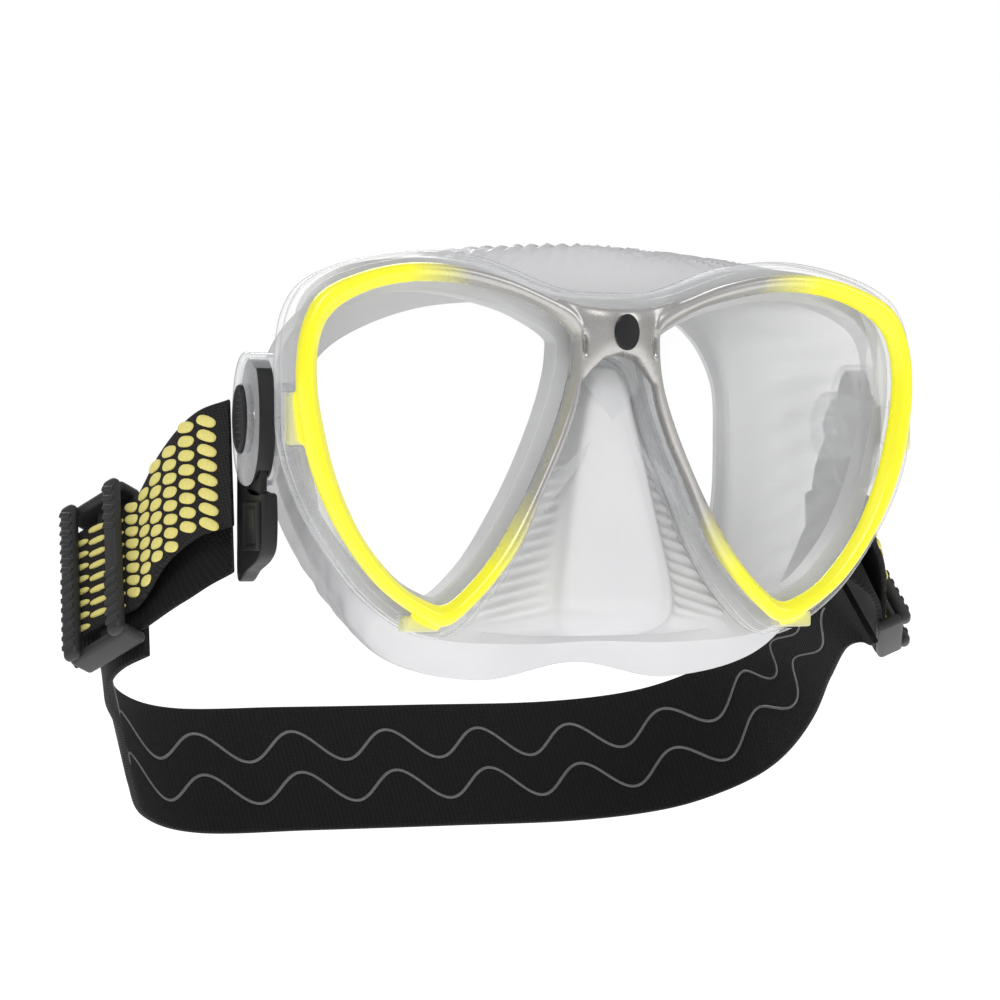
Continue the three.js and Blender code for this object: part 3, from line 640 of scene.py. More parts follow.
def make_bezel():
    bezel = add(bezel_ring("front_bezel_look"), on_side(bezel_ring("other_ring"), -1))
    middle = bridge("bridge")
    crest = grown(opening, CREST_TO_OPENING)
    for _, sign in SIDES:
        cut(middle, on_side(profiled("window", crest, [(-6, 0), (6, 0)]), sign))
    add(bezel, middle)
    near, far = LUG_SPAN
    for x, z, half_x, half_z in LUGS:
        for _, sign in SIDES:
            half = (half_x, (far - near) / 2, half_z)
            add(bezel, rounded_box("lug", (sign * x, (near + far) / 2, z), half, 0.35))
    # Remeshed finely and smoothed, so that the bridge flows into the two rings.
    fused = bezel.modifiers.new("fused", "REMESH")
    fused.mode = "VOXEL"
    fused.voxel_size = BEZEL_VOXEL
    softened = bezel.modifiers.new("softened", "SMOOTH")
    softened.factor = 0.5
    softened.iterations = 7
    apply_modifiers(bezel)
    shade(bezel, 80)
    finish_piece(bezel, "mask", "bezel", "front_bezel")


# ---- Clear frame ----
LENS_OVERHANG = 2.0
GAP = 0.35
LIP_FRONT = 10.2
LIP_OVERHANG = 0.9
PIN_RADIUS = 2.6
EAR_X = (73.2, 76.6)
EAR_RADIUS = 8.6
EAR_FOOT_HALF = 3.2
# Seen from above (x, depth), an ear leaves the frame's side and turns inboard and back.
EAR_STRIP = [
    (79.8, 9), (82.9, 9), (82.8, 11.2), (80.7, 13.8), (78, 16.2), (76.8, 17.7), (76.6, 19.6), (76.6, 37),
    (73.2, 37), (73.2, 20.6), (73.6, 18.8), (75.2, 16.6), (78.2, 14), (79.8, 12.4),
]
# Depth, and how far the outline is drawn in there: a step, a bead and a groove round the frame's edge.
FRAME_ROWS = [
    (4.05, 3.0), (4.06, 2.3), (4.3, 1.75), (4.9, 1.6), (5.1, 1.45), (5.2, 0.7), (5.5, 0.25), (6.1, 0),
    (7.4, 0), (7.75, 0.15), (7.95, 0.6), (8.5, 0.65), (8.7, 0.2), (9.1, 0), (10.9, 0), (11.5, 0.2),
    (11.85, 0.55), (12, 1.1),
]


def frame_ear(name):
    """The strip seen from above, cut to a round end and a narrow foot seen from the side."""
    low, high = PIVOT_HEIGHT - EAR_RADIUS, PIVOT_HEIGHT + EAR_RADIUS
    loops = []
    for height, inset in rounded_rows(low - 1, high + 1, 0.5):
        loops.append([(x, depth, height) for x, depth in grown(EAR_STRIP, -inset)])
    strip = loft(name, loops, "clear")
    round_end = [p for p in oval(PIVOT_PLACE, (EAR_RADIUS,) * 2, 72) if p[0] > PIVOT_DEPTH - 0.1]
    round_end.sort(key=lambda p: p[1])
    foot = [(8, PIVOT_HEIGHT + EAR_FOOT_HALF), (8, PIVOT_HEIGHT - EAR_FOOT_HALF)]
    side_view = np.array([tuple(p) for p in round_end] + foot)
    boolean(strip, side_cut(side_view, EAR_X[0] - 1, EAR_X[1] + 10), "INTERSECT")
    return cut(strip, round_cut(PIN_RADIUS + GAP, EAR_X[0] - 1, EAR_X[1] + 1))


def make_frame():
    frame_look = profiled("clear_frame_look", frame_outline, FRAME_ROWS, "clear")
    pocket = grown(opening, LENS_OVERHANG + GAP)
    for _, sign in SIDES:
        for outline, far in ((pocket, LIP_FRONT), (grown(opening, LIP_OVERHANG), FRAME_BACK + 5)):
            cut(frame_look, on_side(profiled("cut", outline, [(0, 0), (far, 0)]), sign))
        for x, z, half_x, half_z in LUGS:
            cut(frame_look, rounded_box("notch", (sign * x, 5.4, z), (half_x + GAP, 2.95, half_z + GAP), 0.3))
        add(frame_look, on_side(frame_ear("ear"), sign))
    shade(frame_look, 35)
    finish_piece(frame_look, "mask", "clear_plastic", "clear_frame")


# ---- Lenses ----
LENS_SPAN = (4.3, 7.8)


def make_lenses():
    outline = grown(opening, LENS_OVERHANG)
    for side, sign in SIDES:
        lens = profiled(f"{side}_lens_look", outline, rounded_rows(*LENS_SPAN, 0.5), "lens")
        finish_piece(on_side(lens, sign), "mask", "lens", f"{side}_lens")


# ---- Skirt ----
SKIRT_WALL = 1.9
SKIRT_FRONT = FRAME_BACK + 0.3
VISION_INSET = 1.8
VISION_REACH = 2.2
SKIRT_AT_FRAME = [(x, SKIRT_FRONT, z) for x, z in (
    (0, 35.3), (17, 37.4), (34, 43), (50, 44.2), (68, 41), (78, 31.5), (77.4, 12), (75.4, -11.5),
    (63.5, -33), (46, -44), (22, -46.5), (0, -46),
)]
SKIRT_BROW = [
    (0, 20, 48.3), (19, 20, 47.6), (36, 20, 46.6), (51, 20, 44.6), (65, 20.5, 39.5), (72.6, 21.5, 28),
    (70.6, 22, 9), (70.4, 22.5, -12), (66, 22.5, -29.5), (51, 23, -49), (25, 24, -55), (0, 22, -50.8),
]
SKIRT_MIDDLE = [
    (0, 26.5, 48), (21, 28, 47.2), (37, 32, 45.6), (51, 37, 42), (62, 41, 35.5), (69, 43, 25),
    (70, 44, 8), (68.6, 42, -12), (62.5, 38, -31), (50, 33, -47.5), (26, 29, -54), (0, 26.5, -51),
]
SKIRT_RIM = [
    (0, 33, 44), (21, 36, 43.5), (37, 43, 42), (50, 51, 38), (60, 58, 31), (66, 61, 20),
    (67.5, 62, 5), (65, 58, -13), (58, 51, -30), (46, 43, -44), (25, 35, -50), (0, 31.5, -47),
]
FACE_OPENING = [
    (0, 33.6, 36.5), (18.5, 36.5, 36), (33, 43, 34.5), (44, 50, 30.5), (52.5, 56, 24.5), (57.5, 59, 16),
    (58.5, 60, 4), (56, 56.5, -11), (49.5, 50, -25), (39, 42.5, -36.5), (21, 35, -41.5), (0, 31.7, -38.8),
]
SKIRT_LOOPS = [SKIRT_AT_FRAME, SKIRT_BROW, SKIRT_MIDDLE, SKIRT_RIM, FACE_OPENING]
PER_SKIRT_POINT = 12
PER_SKIRT_ROW = 9


def skirt_surface():
    """Rows of points from the frame back to the face opening, smooth both ways."""
    lines = np.stack([spline(mirrored_half(half), PER_SKIRT_POINT, True) for half in SKIRT_LOOPS])
    return np.stack([spline(lines[:, i], PER_SKIRT_ROW, False) for i in range(lines.shape[1])], 1)


def outward_of(rows):
    """Unit normals of a grid of points that closes on itself the second way."""
    along = np.gradient(rows, axis=0)
    round_ = np.roll(rows, -1, 1) - np.roll(rows, 1, 1)
    normal = np.cross(along, round_)
    normal /= np.linalg.norm(normal, axis=2)[:, :, None] + 1e-12
    middle = rows.mean(axis=1, keepdims=True)
    facing = np.sign(np.sum(normal * (rows - middle), axis=2).mean())
    return normal * facing


def smoothstep(value, low, high):
    share = np.clip((value - low) / (high - low), 0, 1)
    return share * share * (3 - 2 * share)


def skirt_ribs(rows):
    """How far the ribs raise the skirt: fans over the brow, and rows of ribs down its sides."""
    x, depth, z = rows[..., 0], rows[..., 1], rows[..., 2]
    share = np.linspace(0, 1, rows.shape[0])[:, None] * np.ones(rows.shape[1])
    brow = smoothstep(z, 43, 45) * smoothstep(share, 0.06, 0.14) * (1 - smoothstep(share, 0.5, 0.62))
    brow *= 1 - smoothstep(np.abs(x), 40, 50)
    fan = np.abs(x) * 0.82 + depth * 0.95
    raised = 0.55 * brow * np.sin(2 * math.pi * fan / 3.4)
    return raised + flank_ribs(rows)


def flank_ribs(rows):
    """Ribs that run back along the skirt's sides and fan out towards the temple."""
    x, depth, z = rows[..., 0], rows[..., 1], rows[..., 2]
    flank = smoothstep(np.abs(x), 54, 61) * smoothstep(depth, 17, 23) * (1 - smoothstep(depth, 44, 50))
    fan = (z + 6) / (1 + 0.012 * (depth - 20)) + 0.25 * (depth - 30)
    return 0.5 * flank * np.sin(2 * math.pi * fan / FLANK_RIB_PITCH)


def inset_loop(loop, distance, deeper):
    """A loop of the skirt drawn in towards the middle and moved back."""
    p = np.array(loop, float)
    reach = np.hypot(p[:, 0], p[:, 2])
    scale = (reach - distance) / reach
    return np.stack([p[:, 0] * scale, p[:, 1] + deeper, p[:, 2] * scale], 1)


# The nose pocket: height, half width of its ridge, depth of its front, and half width at the frame.
NOSE_LEVELS = [
    (19.6, 1.6, 8.6, 2.4), (18.2, 3.6, 6.4, 5.0), (13, 5.6, 4.8, 7.6), (6, 7.2, 4.0, 9.6),
    (0, 8.6, 3.2, 12.0), (-7, 10.0, 2.3, 15.0), (-14, 11.4, 1.4, 18.6),
    (-21, 12.8, 0.4, 21.8), (-27, 14.0, -0.6, 25.2),
    (-32, 14.9, -1.2, 28.4), (-36.5, 15.4, -1.4, 32.0), (-40, 15.0, -0.2, 34.0), (-42.8, 13.2, 3.4, 33.0),
    (-44.6, 9.4, 8.4, 24.0),
]
NOSE_BACK = SKIRT_FRONT + 1
NOSE_WALL = 1.9
CHEEK_RIB_PITCH = 2.7
CHEEK_RIB_HEIGHT = 0.42
FLANK_RIB_PITCH = 7


def nose_section(height, ridge, front, foot, shrink=0.0):
    """Half of a level: over the ridge, in at the flank, then out to the frame."""
    deep = NOSE_BACK - front
    spread = foot - ridge
    points = [
        (0, front + shrink),
        (ridge * 0.55 - shrink * 0.3, front + 0.025 * deep + shrink),
        (ridge * 0.92 - shrink * 0.7, front + 0.16 * deep + shrink),
        (ridge * 1.06 - shrink, front + 0.42 * deep + shrink * 0.6),
        (ridge * 1.12 + spread * 0.18 - shrink, front + 0.66 * deep + shrink * 0.5),
        (ridge * 1.1 + spread * 0.55 - shrink, min(front + 0.8 * deep + shrink * 0.7, NOSE_BACK - 0.1)),
        (foot - shrink, min(front + 0.9 * deep + shrink * 0.6, NOSE_BACK - 0.05)),
        (foot + 0.6 - shrink, NOSE_BACK),
    ]
    return [(x, depth, height) for x, depth in spline(points, 7, False)]


def nose_loft(name, shrink=0.0):
    """The nose pocket's outside with its cheek ribs, or its inside drawn in by shrink and without ribs."""
    loops = []
    for height, ridge, front, foot in spline(NOSE_LEVELS, 12, False):
        if shrink:
            height = height + (-shrink if height > 0 else shrink) * min(1, abs(height) / 20)
        half = nose_section(height, ridge, front, foot, shrink)
        raised = []
        for i, (x, depth, h) in enumerate(half):
            curl = h + 0.004 * x * x + 0.25 * (depth - front)
            fade = smoothstep(i / len(half), 0.42, 0.55)
            fade *= smoothstep(-h, -4, 6) * (1 - smoothstep(-h, 38, 42))
            lift = 0 if shrink else CHEEK_RIB_HEIGHT * fade * math.sin(2 * math.pi * curl / CHEEK_RIB_PITCH)
            raised.append((x, depth - lift, h))
        loop = raised + [(-x, depth, h) for x, depth, h in raised[:0:-1]]
        if shrink:
            loop = [(x, depth if depth < NOSE_BACK - 0.01 else NOSE_BACK + 6, h) for x, depth, h in loop]
        loops.append(loop)
    return loft(name, loops, "silicone", sharp=60)


def make_skirt():
    rows = skirt_surface()
    rows = rows + outward_of(rows) * skirt_ribs(rows)[..., None]
    skirt = loft("skirt_look", rows, "silicone", sharp=60)
    flanges = (
        (grown(opening, LENS_OVERHANG), LENS_SPAN[1] + 0.3, LIP_FRONT - 0.3),
        (grown(opening, LIP_OVERHANG - GAP), LIP_FRONT - 1, SKIRT_FRONT + 1),
    )
    for _, sign in SIDES:
        for outline, near, far in flanges:
            add(skirt, on_side(profiled("flange", outline, [(near, 0), (far, 0)], "silicone"), sign))
    add(skirt, nose_loft("nose"))

    at_frame, brow, middle, rim, face = (
        spline(mirrored_half(half), PER_SKIRT_POINT, True) for half in SKIRT_LOOPS
    )
    hollow = np.stack([
        inset_loop(at_frame, SKIRT_WALL, SKIRT_WALL),
        inset_loop(brow, SKIRT_WALL, 0.6),
        inset_loop(middle, SKIRT_WALL, 0),
        inset_loop(rim, SKIRT_WALL + 0.4, -SKIRT_WALL),
        inset_loop(face, 0, -SKIRT_WALL),
        inset_loop(face, 0, 12),
    ])
    inside = np.stack([spline(hollow[:5, i], 5, False) for i in range(hollow.shape[1])], 1)
    smooth = np.concatenate([inside, hollow[5:]])
    smooth[1:-1] += outward_of(smooth)[1:-1] * flank_ribs(smooth)[1:-1, :, None]
    cut(skirt, loft("hollow", smooth))
    cut(skirt, nose_loft("inside_nose", NOSE_WALL))
    view_rows = [(2, 0), (SKIRT_FRONT + VISION_REACH, 0)]
    for _, sign in SIDES:
        cut(skirt, on_side(profiled("view", grown(opening, -VISION_INSET), view_rows), sign))
    shade(skirt, 42)
    finish_piece(skirt, "mask", "silicone", "skirt")


# ---- Badge ----
BADGE_CENTRE = (0, 27.2)
BADGE_HALF = (3.1, 4.3)
BADGE_SPAN = (-3.9, -2.4)


def make_badge():
    rows = rounded_rows(*BADGE_SPAN, 0.35)
    badge = profiled("bridge_badge_look", oval(BADGE_CENTRE, BADGE_HALF, 72), rows, "badge")
    finish_piece(badge, "mask", "badge", "bridge_badge")


# ---- Buckle ----
BUCKLE_HALF = (7.4, 15.7)
FLANGE_X = (76.95, 78.6)
FLANGE_RADIUS = 8
CORE_X = (78.95, 83.5)
COVER_X = (83.85, 85.6)
BUTTON_X = (84.1, 86.4)
BUTTON_HALF = (3.8, 8.0)
BUTTON_TRAVEL = 1.2
PIN_X = (73.3, 80.2)
PIN_HEAD_RADIUS = 3.8
PIN_HEAD_HEIGHT = 1.1
CORE_INSET = 1.6
SHELL_WALL = 1.4
# The clear cover is a low dome: distance from the middle plane, and how far the outline is drawn in.
COVER_ROWS = [
    (83.85, 1.0), (83.88, 0.5), (84.0, 0.1), (84.2, 0), (84.5, 0.12), (84.8, 0.42), (85.1, 0.95),
    (85.35, 1.7), (85.52, 2.5), (85.6, 3.2),
]
DISH_ROWS = [(85.7, 1.3), (85.85, 0.7), (86.1, 0.25), (86.6, 0)]


def buckle_outline(shrink, count=104):
    half = (BUCKLE_HALF[0] - shrink, BUCKLE_HALF[1] - shrink)
    return oval(PIVOT_PLACE, half, count, 0.9)


def button_outline(grow, count=72):
    return oval(PIVOT_PLACE, (BUTTON_HALF[0] + grow, BUTTON_HALF[1] + grow), count)


def side_cut(outline, near, far):
    return profiled("cut", outline, [(near, 0), (far, 0)], side_on=True)


def round_cut(radius, near, far):
    """A round hole on the pivot."""
    return side_cut(oval(PIVOT_PLACE, (radius, radius), 48), near, far)


def tongue(margin, radius):
    low, high = PIVOT_HEIGHT - 19, PIVOT_HEIGHT - 7.2 + margin
    centre = (81.05, PIVOT_DEPTH, (low + high) / 2)
    return rounded_box("tongue", centre, (0.95 + margin, 3 + margin, (high - low) / 2), radius)


def buckle_shell(name):
    round_foot = oval(PIVOT_PLACE, (FLANGE_RADIUS, FLANGE_RADIUS), 72)
    shell = profiled(name, round_foot, rounded_rows(*FLANGE_X, 0.7), "clear", True)
    add(shell, profiled("cover", buckle_outline(0), COVER_ROWS, "clear", True))
    # The wall that joins them stands behind and above the core.
    ring = side_cut(buckle_outline(0.15), FLANGE_X[1] - 0.5, COVER_X[0] + 0.5)
    cut(ring, side_cut(buckle_outline(SHELL_WALL - 0.1), FLANGE_X[1] - 1, COVER_X[0] + 1))
    middle = (FLANGE_X[1] + COVER_X[0]) / 2
    width = (COVER_X[0] - FLANGE_X[1]) / 2
    cut(ring, rounded_box("front", (middle, PIVOT_DEPTH - 4, PIVOT_HEIGHT - 2.5), (width, 6.4, 14.2), 0.2))
    cut(ring, rounded_box("foot", (middle, PIVOT_DEPTH, PIVOT_HEIGHT - 13), (width, 9, 4.4), 0.2))
    add(shell, ring)
    cut(shell, round_cut(PIN_RADIUS + GAP, FLANGE_X[0] - 1, FLANGE_X[1] + 0.3))
    cut(shell, side_cut(button_outline(GAP), COVER_X[0] - 0.3, COVER_X[1] + 1))
    shade(shell, 35)
    return shell


def buckle_core(name):
    core = profiled(name, buckle_outline(CORE_INSET), rounded_rows(*CORE_X, 0.6), "core", True)
    cut(core, round_cut(PIN_HEAD_RADIUS + 0.5, CORE_X[0] - 1, CORE_X[1] + 1))
    cut(core, side_cut(button_outline(0.4), BUTTON_X[0] - BUTTON_TRAVEL - GAP, CORE_X[1] + 1))
    cut(core, tongue(GAP, 0.15))
    shade(core, 40)
    return core


def release_button(name):
    button = profiled(name, button_outline(0), rounded_rows(*BUTTON_X, 0.5), "button", True)
    cut(button, profiled("dish", button_outline(-0.9), DISH_ROWS, None, True))
    for step in range(-4, 5):
        up = 1.5 * step
        reach = (BUTTON_HALF[0] - 1.1) * math.sqrt(max(0.05, 1 - (up / (BUTTON_HALF[1] - 1)) ** 2))
        add(button, rounded_box("rib", (85.72, PIVOT_DEPTH, PIVOT_HEIGHT + up), (0.35, reach, 0.36), 0.18))
    shade(button, 40)
    return button


CLIP_OUTLINE = [
    (22.2, -11), (21.4, -14), (21.4, -20), (22.3, -24.2), (25.5, -26.8), (31, -28.8), (37.2, -31.2),
    (37.8, -20), (37.8, -5), (37.8, 8), (37.3, 10.6), (36, 10.6), (35.5, 8), (35.5, 3), (34.8, -2),
    (32.9, -7), (29.6, -10.1), (26, -10.8),
]
CLIP_X = (78.6, 82.5)
PANEL_CENTRE = (27.6, -18.5)
PANEL_HALF = (4.7, 5.7)


def strap_clip(name):
    """A plate with a raised panel that is recessed round a flat face, and the tongue that enters the core."""
    clip = profiled(name, spline(CLIP_OUTLINE, PER_POINT, True), rounded_rows(*CLIP_X, 0.55), "clip", True)

    def panel(x, half_x, margin, radius):
        half = (half_x, PANEL_HALF[0] - margin, PANEL_HALF[1] - margin)
        return rounded_box("panel", (x, *PANEL_CENTRE), half, radius)

    add(clip, panel(82.5, 0.9, 0, 0.45))
    cut(clip, panel(83.5, 0.45, 1, 0.15))
    add(clip, panel(82.9, 0.4, 1.7, 0.12))
    add(clip, tongue(0, 0.3))
    shade(clip, 40)
    return clip


def pivot_pin(name):
    def turned(name, radius, near):
        outline = oval(PIVOT_PLACE, (radius, radius), 56)
        return profiled(name, outline, rounded_rows(near, PIN_X[1], 0.3), "steel", True)

    pin = add(turned(name, PIN_RADIUS, PIN_X[0]), turned("head", PIN_HEAD_RADIUS, PIN_X[1] - PIN_HEAD_HEIGHT))
    shade(pin, 40)
    return pin


SPRING_RADIUS = 2.9
SPRING_WIRE = 0.8
SPRING_X = (80.6, 83.7)
SPRING_TURNS = 2.5
SPRING_STEPS = 120


def button_spring(name):
    rise = SPRING_X[1] - SPRING_X[0] - SPRING_WIRE
    loops = []
    for share in np.arange(SPRING_STEPS + 1) / SPRING_STEPS:
        turn = 2 * math.pi * SPRING_TURNS * share
        out = np.array([0, math.cos(turn), math.sin(turn)])
        middle = (SPRING_X[0] + SPRING_WIRE / 2 + rise * share, *PIVOT_PLACE) + SPRING_RADIUS * out
        loops.append([
            middle + SPRING_WIRE / 2 * (out * math.cos(a) + np.array([1, 0, 0]) * math.sin(a))
            for a in np.arange(14) * 2 * math.pi / 14
        ])
    return loft(name, loops, "steel")


BUCKLE_PIECES = (
    ("buckle_shell", buckle_shell, "strap", "clear_plastic"),
    ("buckle_core", buckle_core, "strap", "dark_plastic"),
    ("release_button", release_button, "{}_button", "button"),
    ("button_spring", button_spring, "strap", "steel"),
    ("strap_clip", strap_clip, "strap", "clip_plastic"),
    ("pivot_pin", pivot_pin, "mask", "steel"),
)


def make_buckles():
    for side, sign in SIDES:
        for node, build, body, slot in BUCKLE_PIECES:
            made = on_side(build(f"{side}_{node}_look"), sign)
            finish_piece(made, body.format(side), slot, f"{side}_{node}")
            if node == "button_spring":
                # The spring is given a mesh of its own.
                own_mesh(made)


# ---- Strap routes, as the frame's webs run (x, depth, z) ----
SLIDER_CENTRE = np.array([106.0, 66.0, -30.0])
SLIDER_RUN = np.array([0.468, 0.767, -0.438])
STRAIGHT_HALF = 12.6
LAYER_STEP = 3.4
PATTERN_WEB_START = [(84.6, 35.9, -3.6), (91, 42, -6.6), (96.2, 49.3, -14)]
INNER_WEB_START = [(82.8, 40.6, -10.6), (87.2, 44.6, -14), (91.8, 49.8, -19.4)]
BACK_STRAP_ROUTE = [
    (-97.2, 59.5, -33.4), (-100.6, 67.5, -36.6), (-101.2, 76, -40.8), (-98.6, 87, -46.6), (-93, 99, -53.3),
    (-82.5, 120, -68.2), (-73, 134, -78), (-55, 141.5, -83.2), (-23, 142.2, -83.7), (18, 142.6, -84),
    (56, 142.6, -84), (82, 139, -81.5), (97.2, 131.5, -76.2), (105.2, 120.5, -69.2), (106.4, 107, -61),
    (102.6, 93, -53), (99.4, 80, -44.6), (99.2, 68.5, -37.2), (97.2, 59.5, -33.4),
]
PATTERN_WEB_WIDTH = 30
INNER_WEB_WIDTH = 38
BACK_STRAP_WIDTH = 38.5
WEB_THICKNESS = 1.7
BACK_LEAN = 35
FRONT_LEAN = 5
SIDE_LEAN = 13
TWIST = 36


def leaning(back, inboard):
    """The direction up a band that leans back and towards the middle, in degrees."""
    b, i = math.radians(back), math.radians(inboard)
    return np.array([-math.sin(i) * math.cos(b), math.sin(b), math.cos(b)])


def unit(v):
    return v / np.linalg.norm(v)


run = unit(SLIDER_RUN)
web_up = leaning(BACK_LEAN, SIDE_LEAN)
web_up = unit(web_up - run * web_up.dot(run))
outward = np.cross(run, web_up)


def straight_stretch(out):
    return [
        tuple(SLIDER_CENTRE + run * distance + outward * out)
        for distance in (-STRAIGHT_HALF, -STRAIGHT_HALF * 0.4, STRAIGHT_HALF * 0.4, STRAIGHT_HALF)
    ]


def web_lean(share):
    grows = float(smoothstep(share, 0, 0.5))
    return FRONT_LEAN + (BACK_LEAN - FRONT_LEAN) * grows, SIDE_LEAN * grows


def back_lean(share):
    near_right = 1 - float(smoothstep(share, 0.08, 0.25))
    near_left = float(smoothstep(share, 0.86, 1))
    twisted = float(smoothstep(share, 0.7, 0.83)) * (1 - float(smoothstep(share, 0.88, 1)))
    return BACK_LEAN + TWIST * twisted, SIDE_LEAN * (near_left - near_right)


class Band:
    """A flat band along a route: its line, and the directions along, up its width and out of its face."""

    def __init__(self, route, width, thickness, lean_at):
        rough = spline(route, 40, False)
        lengths = np.concatenate([[0], np.cumsum(np.linalg.norm(np.diff(rough, axis=0), axis=1))])
        self.length = lengths[-1]
        steps = int(self.length) + 1  # about a millimetre apart
        self.at = np.linspace(0, self.length, steps)
        self.line = np.stack([np.interp(self.at, lengths, rough[:, k]) for k in range(3)], 1)
        share = np.interp(self.at, lengths, np.linspace(0, 1, len(rough)))  # of the route's points passed
        along = np.gradient(self.line, axis=0)
        self.along = along / np.linalg.norm(along, axis=1)[:, None]
        self.up = np.array([leaning(*lean_at(part)) for part in share])
        across = np.cross(self.along, self.up)
        self.out = across / np.linalg.norm(across, axis=1)[:, None]
        self.width = width
        self.thickness = thickness

    def point(self, s, w, lift):
        """The place at a distance along, a height up the width and a lift off the middle."""
        line, up, out = (
            np.array([np.interp(s, self.at, values[:, k]) for k in range(3)])
            for values in (self.line, self.up, self.out)
        )
        return line + up * w + unit(out) * lift

    def mesh(self, name, material):
        """The band as a mesh with rounded edges, and its UVs in millimetres."""
        half, thick = self.width / 2, self.thickness / 2
        soft = thick * 0.9
        rows = int(self.width / 1.6)
        face = [(half - soft - (self.width - 2 * soft) * k / rows, thick) for k in range(rows + 1)]
        corner = [(math.pi / 2 * k / 4) for k in range(1, 4)]
        edge = [(-half + soft - soft * math.sin(a), thick * math.cos(a)) for a in corner]
        section = face + edge + [(-half, 0)]
        section += [(w, -t) for w, t in reversed(edge)] + [(-w, -t) for w, t in face]
        section += [(-w, -t) for w, t in edge] + [(half, 0)] + [(-w, t) for w, t in reversed(edge)]
        loops = [
            [line + up * w + out * t for w, t in section]
            for line, up, out in zip(self.line, self.up, self.out)
        ]
        made = loft(name, loops, material)
        self.unwrap(made)
        return made

    def unwrap(self, made):
        """UVs in millimetres, along the band and up its width from its middle line."""
        data = made.data
        layer = data.uv_layers.new(name="UVMap")
        line = self.line * MM
        line[:, 1] += CREST_Y
        nearest = {}
        for vertex in data.vertices:
            co = np.array(vertex.co)
            i = int(np.argmin(np.sum((line - co) ** 2, axis=1)))
            off = (co - line[i]) / MM
            nearest[vertex.index] = (self.at[i] + np.dot(off, self.along[i]), np.dot(off, self.up[i]))
        for loop in data.loops:
            layer.data[loop.index].uv = nearest[loop.vertex_index]


def pill(band, s, w, half_width, slant):
    """A low dome on a band's outer face, as one ring after another."""
    steps = 16
    lift = band.thickness / 2
    cos_s, sin_s = math.cos(slant), math.sin(slant)
    rings = ((1.0, 0.0), (0.95, 0.55), (0.78, 0.85), (0.45, 1.0))
    vertices = []
    for scale, rise in rings:
        for k in range(steps):
            angle = 2 * math.pi * k / steps
            a = PILL_HALF_LENGTH * scale * math.copysign(abs(math.cos(angle)) ** 0.75, math.cos(angle))
            b = half_width * scale * math.copysign(abs(math.sin(angle)) ** 0.85, math.sin(angle))
            place = (s + a * cos_s - b * sin_s, w + a * sin_s + b * cos_s)
            vertices.append(band.point(*place, lift + PILL_HEIGHT * rise))
    top = len(vertices)
    vertices += [band.point(s, w, lift + PILL_HEIGHT), band.point(s, w, lift - 0.2)]
    faces = quads(len(rings), steps)
    faces += [(top - steps + k, top - steps + (k + 1) % steps, top) for k in range(steps)]
    faces += [((k + 1) % steps, k, top + 1) for k in range(steps)]
    return vertices, faces


def pills_object(name, parts):
    vertices, faces = [], []
    for part_vertices, part_faces in parts:
        start = len(vertices)
        vertices += part_vertices
        faces += [tuple(i + start for i in face) for face in part_faces]
    return new_object(name, vertices, faces, "pill", 60)


PILL_ROWS = 8
PILL_ROW_PITCH = 3.5
PILL_COLUMN_PITCH = 5.9
PILL_HALF_LENGTH = 2.9
PILL_HEIGHT = 0.55


def make_webs():
    pattern_route = [*PATTERN_WEB_START, *straight_stretch(0)]
    inner_route = [*INNER_WEB_START, *straight_stretch(-LAYER_STEP)]
    for side, sign in SIDES:
        pattern = Band(pattern_route, PATTERN_WEB_WIDTH, WEB_THICKNESS, web_lean)
        inner = Band(inner_route, INNER_WEB_WIDTH, WEB_THICKNESS, web_lean)
        web = pattern.mesh(f"{side}_pattern_web_look", "webbing")
        parts = []
        for column in range(int((pattern.length - 9) / PILL_COLUMN_PITCH) + 1):
            s = 5.8 + PILL_COLUMN_PITCH * column
            stagger = 0.8 if column % 2 else -0.8
            # In the slider the pills are thinner and lie nearly along the web.
            half_width, slant = (0.8, 8) if s > pattern.length - 2 * SLIDER_HALF_LENGTH else (1.2, 34)
            for row in range(PILL_ROWS):
                w = (row - (PILL_ROWS - 1) / 2) * PILL_ROW_PITCH + stagger
                if s < pattern.length - 2.5:
                    parts.append(pill(pattern, s, w, half_width, math.radians(slant)))
        pills = pills_object(f"{side}_web_pills", parts)
        under = inner.mesh(f"{side}_inner_web_look", "elastic")
        finish_piece(on_side(web, sign), "strap", "webbing", f"{side}_pattern_web")
        finish_piece(on_side(pills, sign), "strap", "webbing")
        finish_piece(on_side(under, sign), "strap", "elastic", f"{side}_inner_web")


# ---- Sliders ----
RAIL_FROM = INNER_WEB_WIDTH / 2 + 0.5
RAIL_TO = RAIL_FROM + 3
SLIDER_HALF_LENGTH = 9.6
BAR_HALF = 2.3


def slider_place(along, up, out):
    return SLIDER_CENTRE + run * along + web_up * up + outward * out


SLIDER_AXES = (Vector(run), Vector(web_up), Vector(outward))


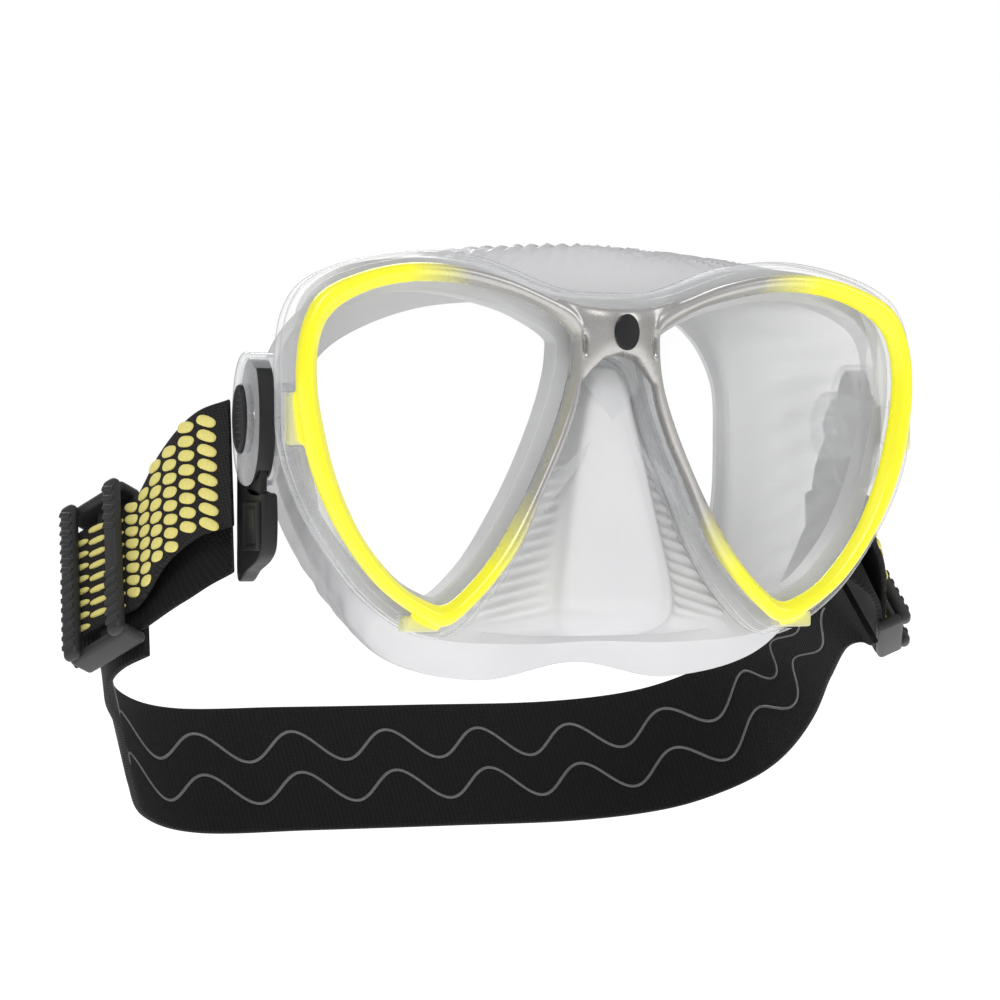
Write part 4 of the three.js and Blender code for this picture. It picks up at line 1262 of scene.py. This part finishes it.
def strap_slider(name):
    """Two rails beside the webs, a ribbed bar over each end, and a bar between the webs."""
    under = -LAYER_STEP - 1.6
    over = WEB_THICKNESS / 2 + 0.5
    rail_half = (SLIDER_HALF_LENGTH, (RAIL_TO - RAIL_FROM) / 2, (over + 0.8 - under) / 2)
    rail_up = (RAIL_FROM + RAIL_TO) / 2
    rail_out = (under + over + 0.8) / 2
    made, other = (
        rounded_box(name, slider_place(0, up, rail_out), rail_half, 1.3, SLIDER_AXES, "slider", 5)
        for up in (rail_up, -rail_up)
    )
    add(made, other)
    for end in (-1, 1):
        along = end * (SLIDER_HALF_LENGTH - BAR_HALF)
        place = slider_place(along, 0, over + 1.6)
        add(made, rounded_box("bar", place, (BAR_HALF, RAIL_TO, 1.6), 1.55, SLIDER_AXES, "slider", 6))
        # Ribs over the bar: slanted at the top, level at the foot, with a smooth stretch between.
        for step in range(-7, 8):
            if end < 0 and -2 < step < 3:
                continue
            tilt = math.radians(28 if step > 0 else 0)
            axes = (
                Vector(run * math.cos(tilt) + web_up * math.sin(tilt)),
                Vector(web_up * math.cos(tilt) - run * math.sin(tilt)),
                Vector(outward),
            )
            place = slider_place(along, step * 2.75, over + 2.75)
            add(made, rounded_box("rib", place, (BAR_HALF - 0.35, 0.75, 0.75), 0.35, axes, "slider"))
    middle_half = (2, RAIL_TO - 1, (LAYER_STEP - WEB_THICKNESS) / 2 - 0.35)
    place = slider_place(0, 0, -LAYER_STEP / 2)
    add(made, rounded_box("middle_bar", place, middle_half, 0.25, SLIDER_AXES, "slider"))
    shade(made, 40)
    return made


def make_sliders():
    for side, sign in SIDES:
        slider = on_side(strap_slider(f"{side}_strap_slider_look"), sign)
        finish_piece(slider, f"{side}_slider", "slider_plastic", f"{side}_strap_slider")


# ---- Back strap ----
WAVE_LENGTH = 28.0
WAVE_REACH = 4.6
WAVE_END_GAP = 14.0


def wave_line(band, name, height, lift):
    """A thin raised wavy line of grip silicone on the strap's inner face."""
    loops = []
    for s in np.arange(WAVE_END_GAP, band.length - WAVE_END_GAP, 1.0):
        phase = 2 * math.pi * s / WAVE_LENGTH
        w = height + WAVE_REACH * math.sin(phase)
        slope = WAVE_REACH * 2 * math.pi / WAVE_LENGTH * math.cos(phase)
        side_s, side_w = -slope / math.hypot(1, slope), 1 / math.hypot(1, slope)
        loop = []
        for k in range(8):
            angle = 2 * math.pi * k / 8
            shift = 0.42 * math.cos(angle)
            loop.append(band.point(s + side_s * shift, w + side_w * shift, lift + 0.25 * math.sin(angle)))
        loops.append(loop)
    return loft(name, loops, "grip", sharp=60)


def make_back_strap():
    strap = Band(BACK_STRAP_ROUTE, BACK_STRAP_WIDTH, WEB_THICKNESS, back_lean)
    made = strap.mesh("back_strap_look", "elastic")
    finish_piece(made, "strap", "elastic", "back_strap")
    middle = len(strap.at) // 2
    inner_face = 1 if strap.out[middle][1] < 0 else -1
    for name, height in (("upper_wave", BACK_STRAP_WIDTH / 6), ("lower_wave", -BACK_STRAP_WIDTH / 6)):
        line = wave_line(strap, name, height, inner_face * WEB_THICKNESS / 2)
        finish_piece(line, "strap", "elastic")


# ---- Studio ----
def make_studio():
    low = cad_box[0][2]
    bpy.ops.mesh.primitive_plane_add(size=40, location=(0, 0, low - 0.15))
    floor = bpy.context.object
    floor.name = "floor"
    floor.data.materials.append(MATERIALS["floor"])
    make_light("key", (-0.5, -0.7, 0.8), (0.5, 0.5), 4.5)
    make_light("fill", (0.7, -0.6, 0.5), (0.5, 0.7), 2.2)
    make_light("rim", (0.1, 0.9, 0.7), (0.8, 0.4), 5)
    make_world()


make_camera()
make_studio()
make_bezel()
make_frame()
make_lenses()
make_skirt()
make_badge()
make_buckles()
make_webs()
make_sliders()
make_back_strap()

scene = bpy.context.scene
scene.view_settings.view_transform = "Standard"
scene.view_settings.look = "None"
bpy.context.view_layer.update()
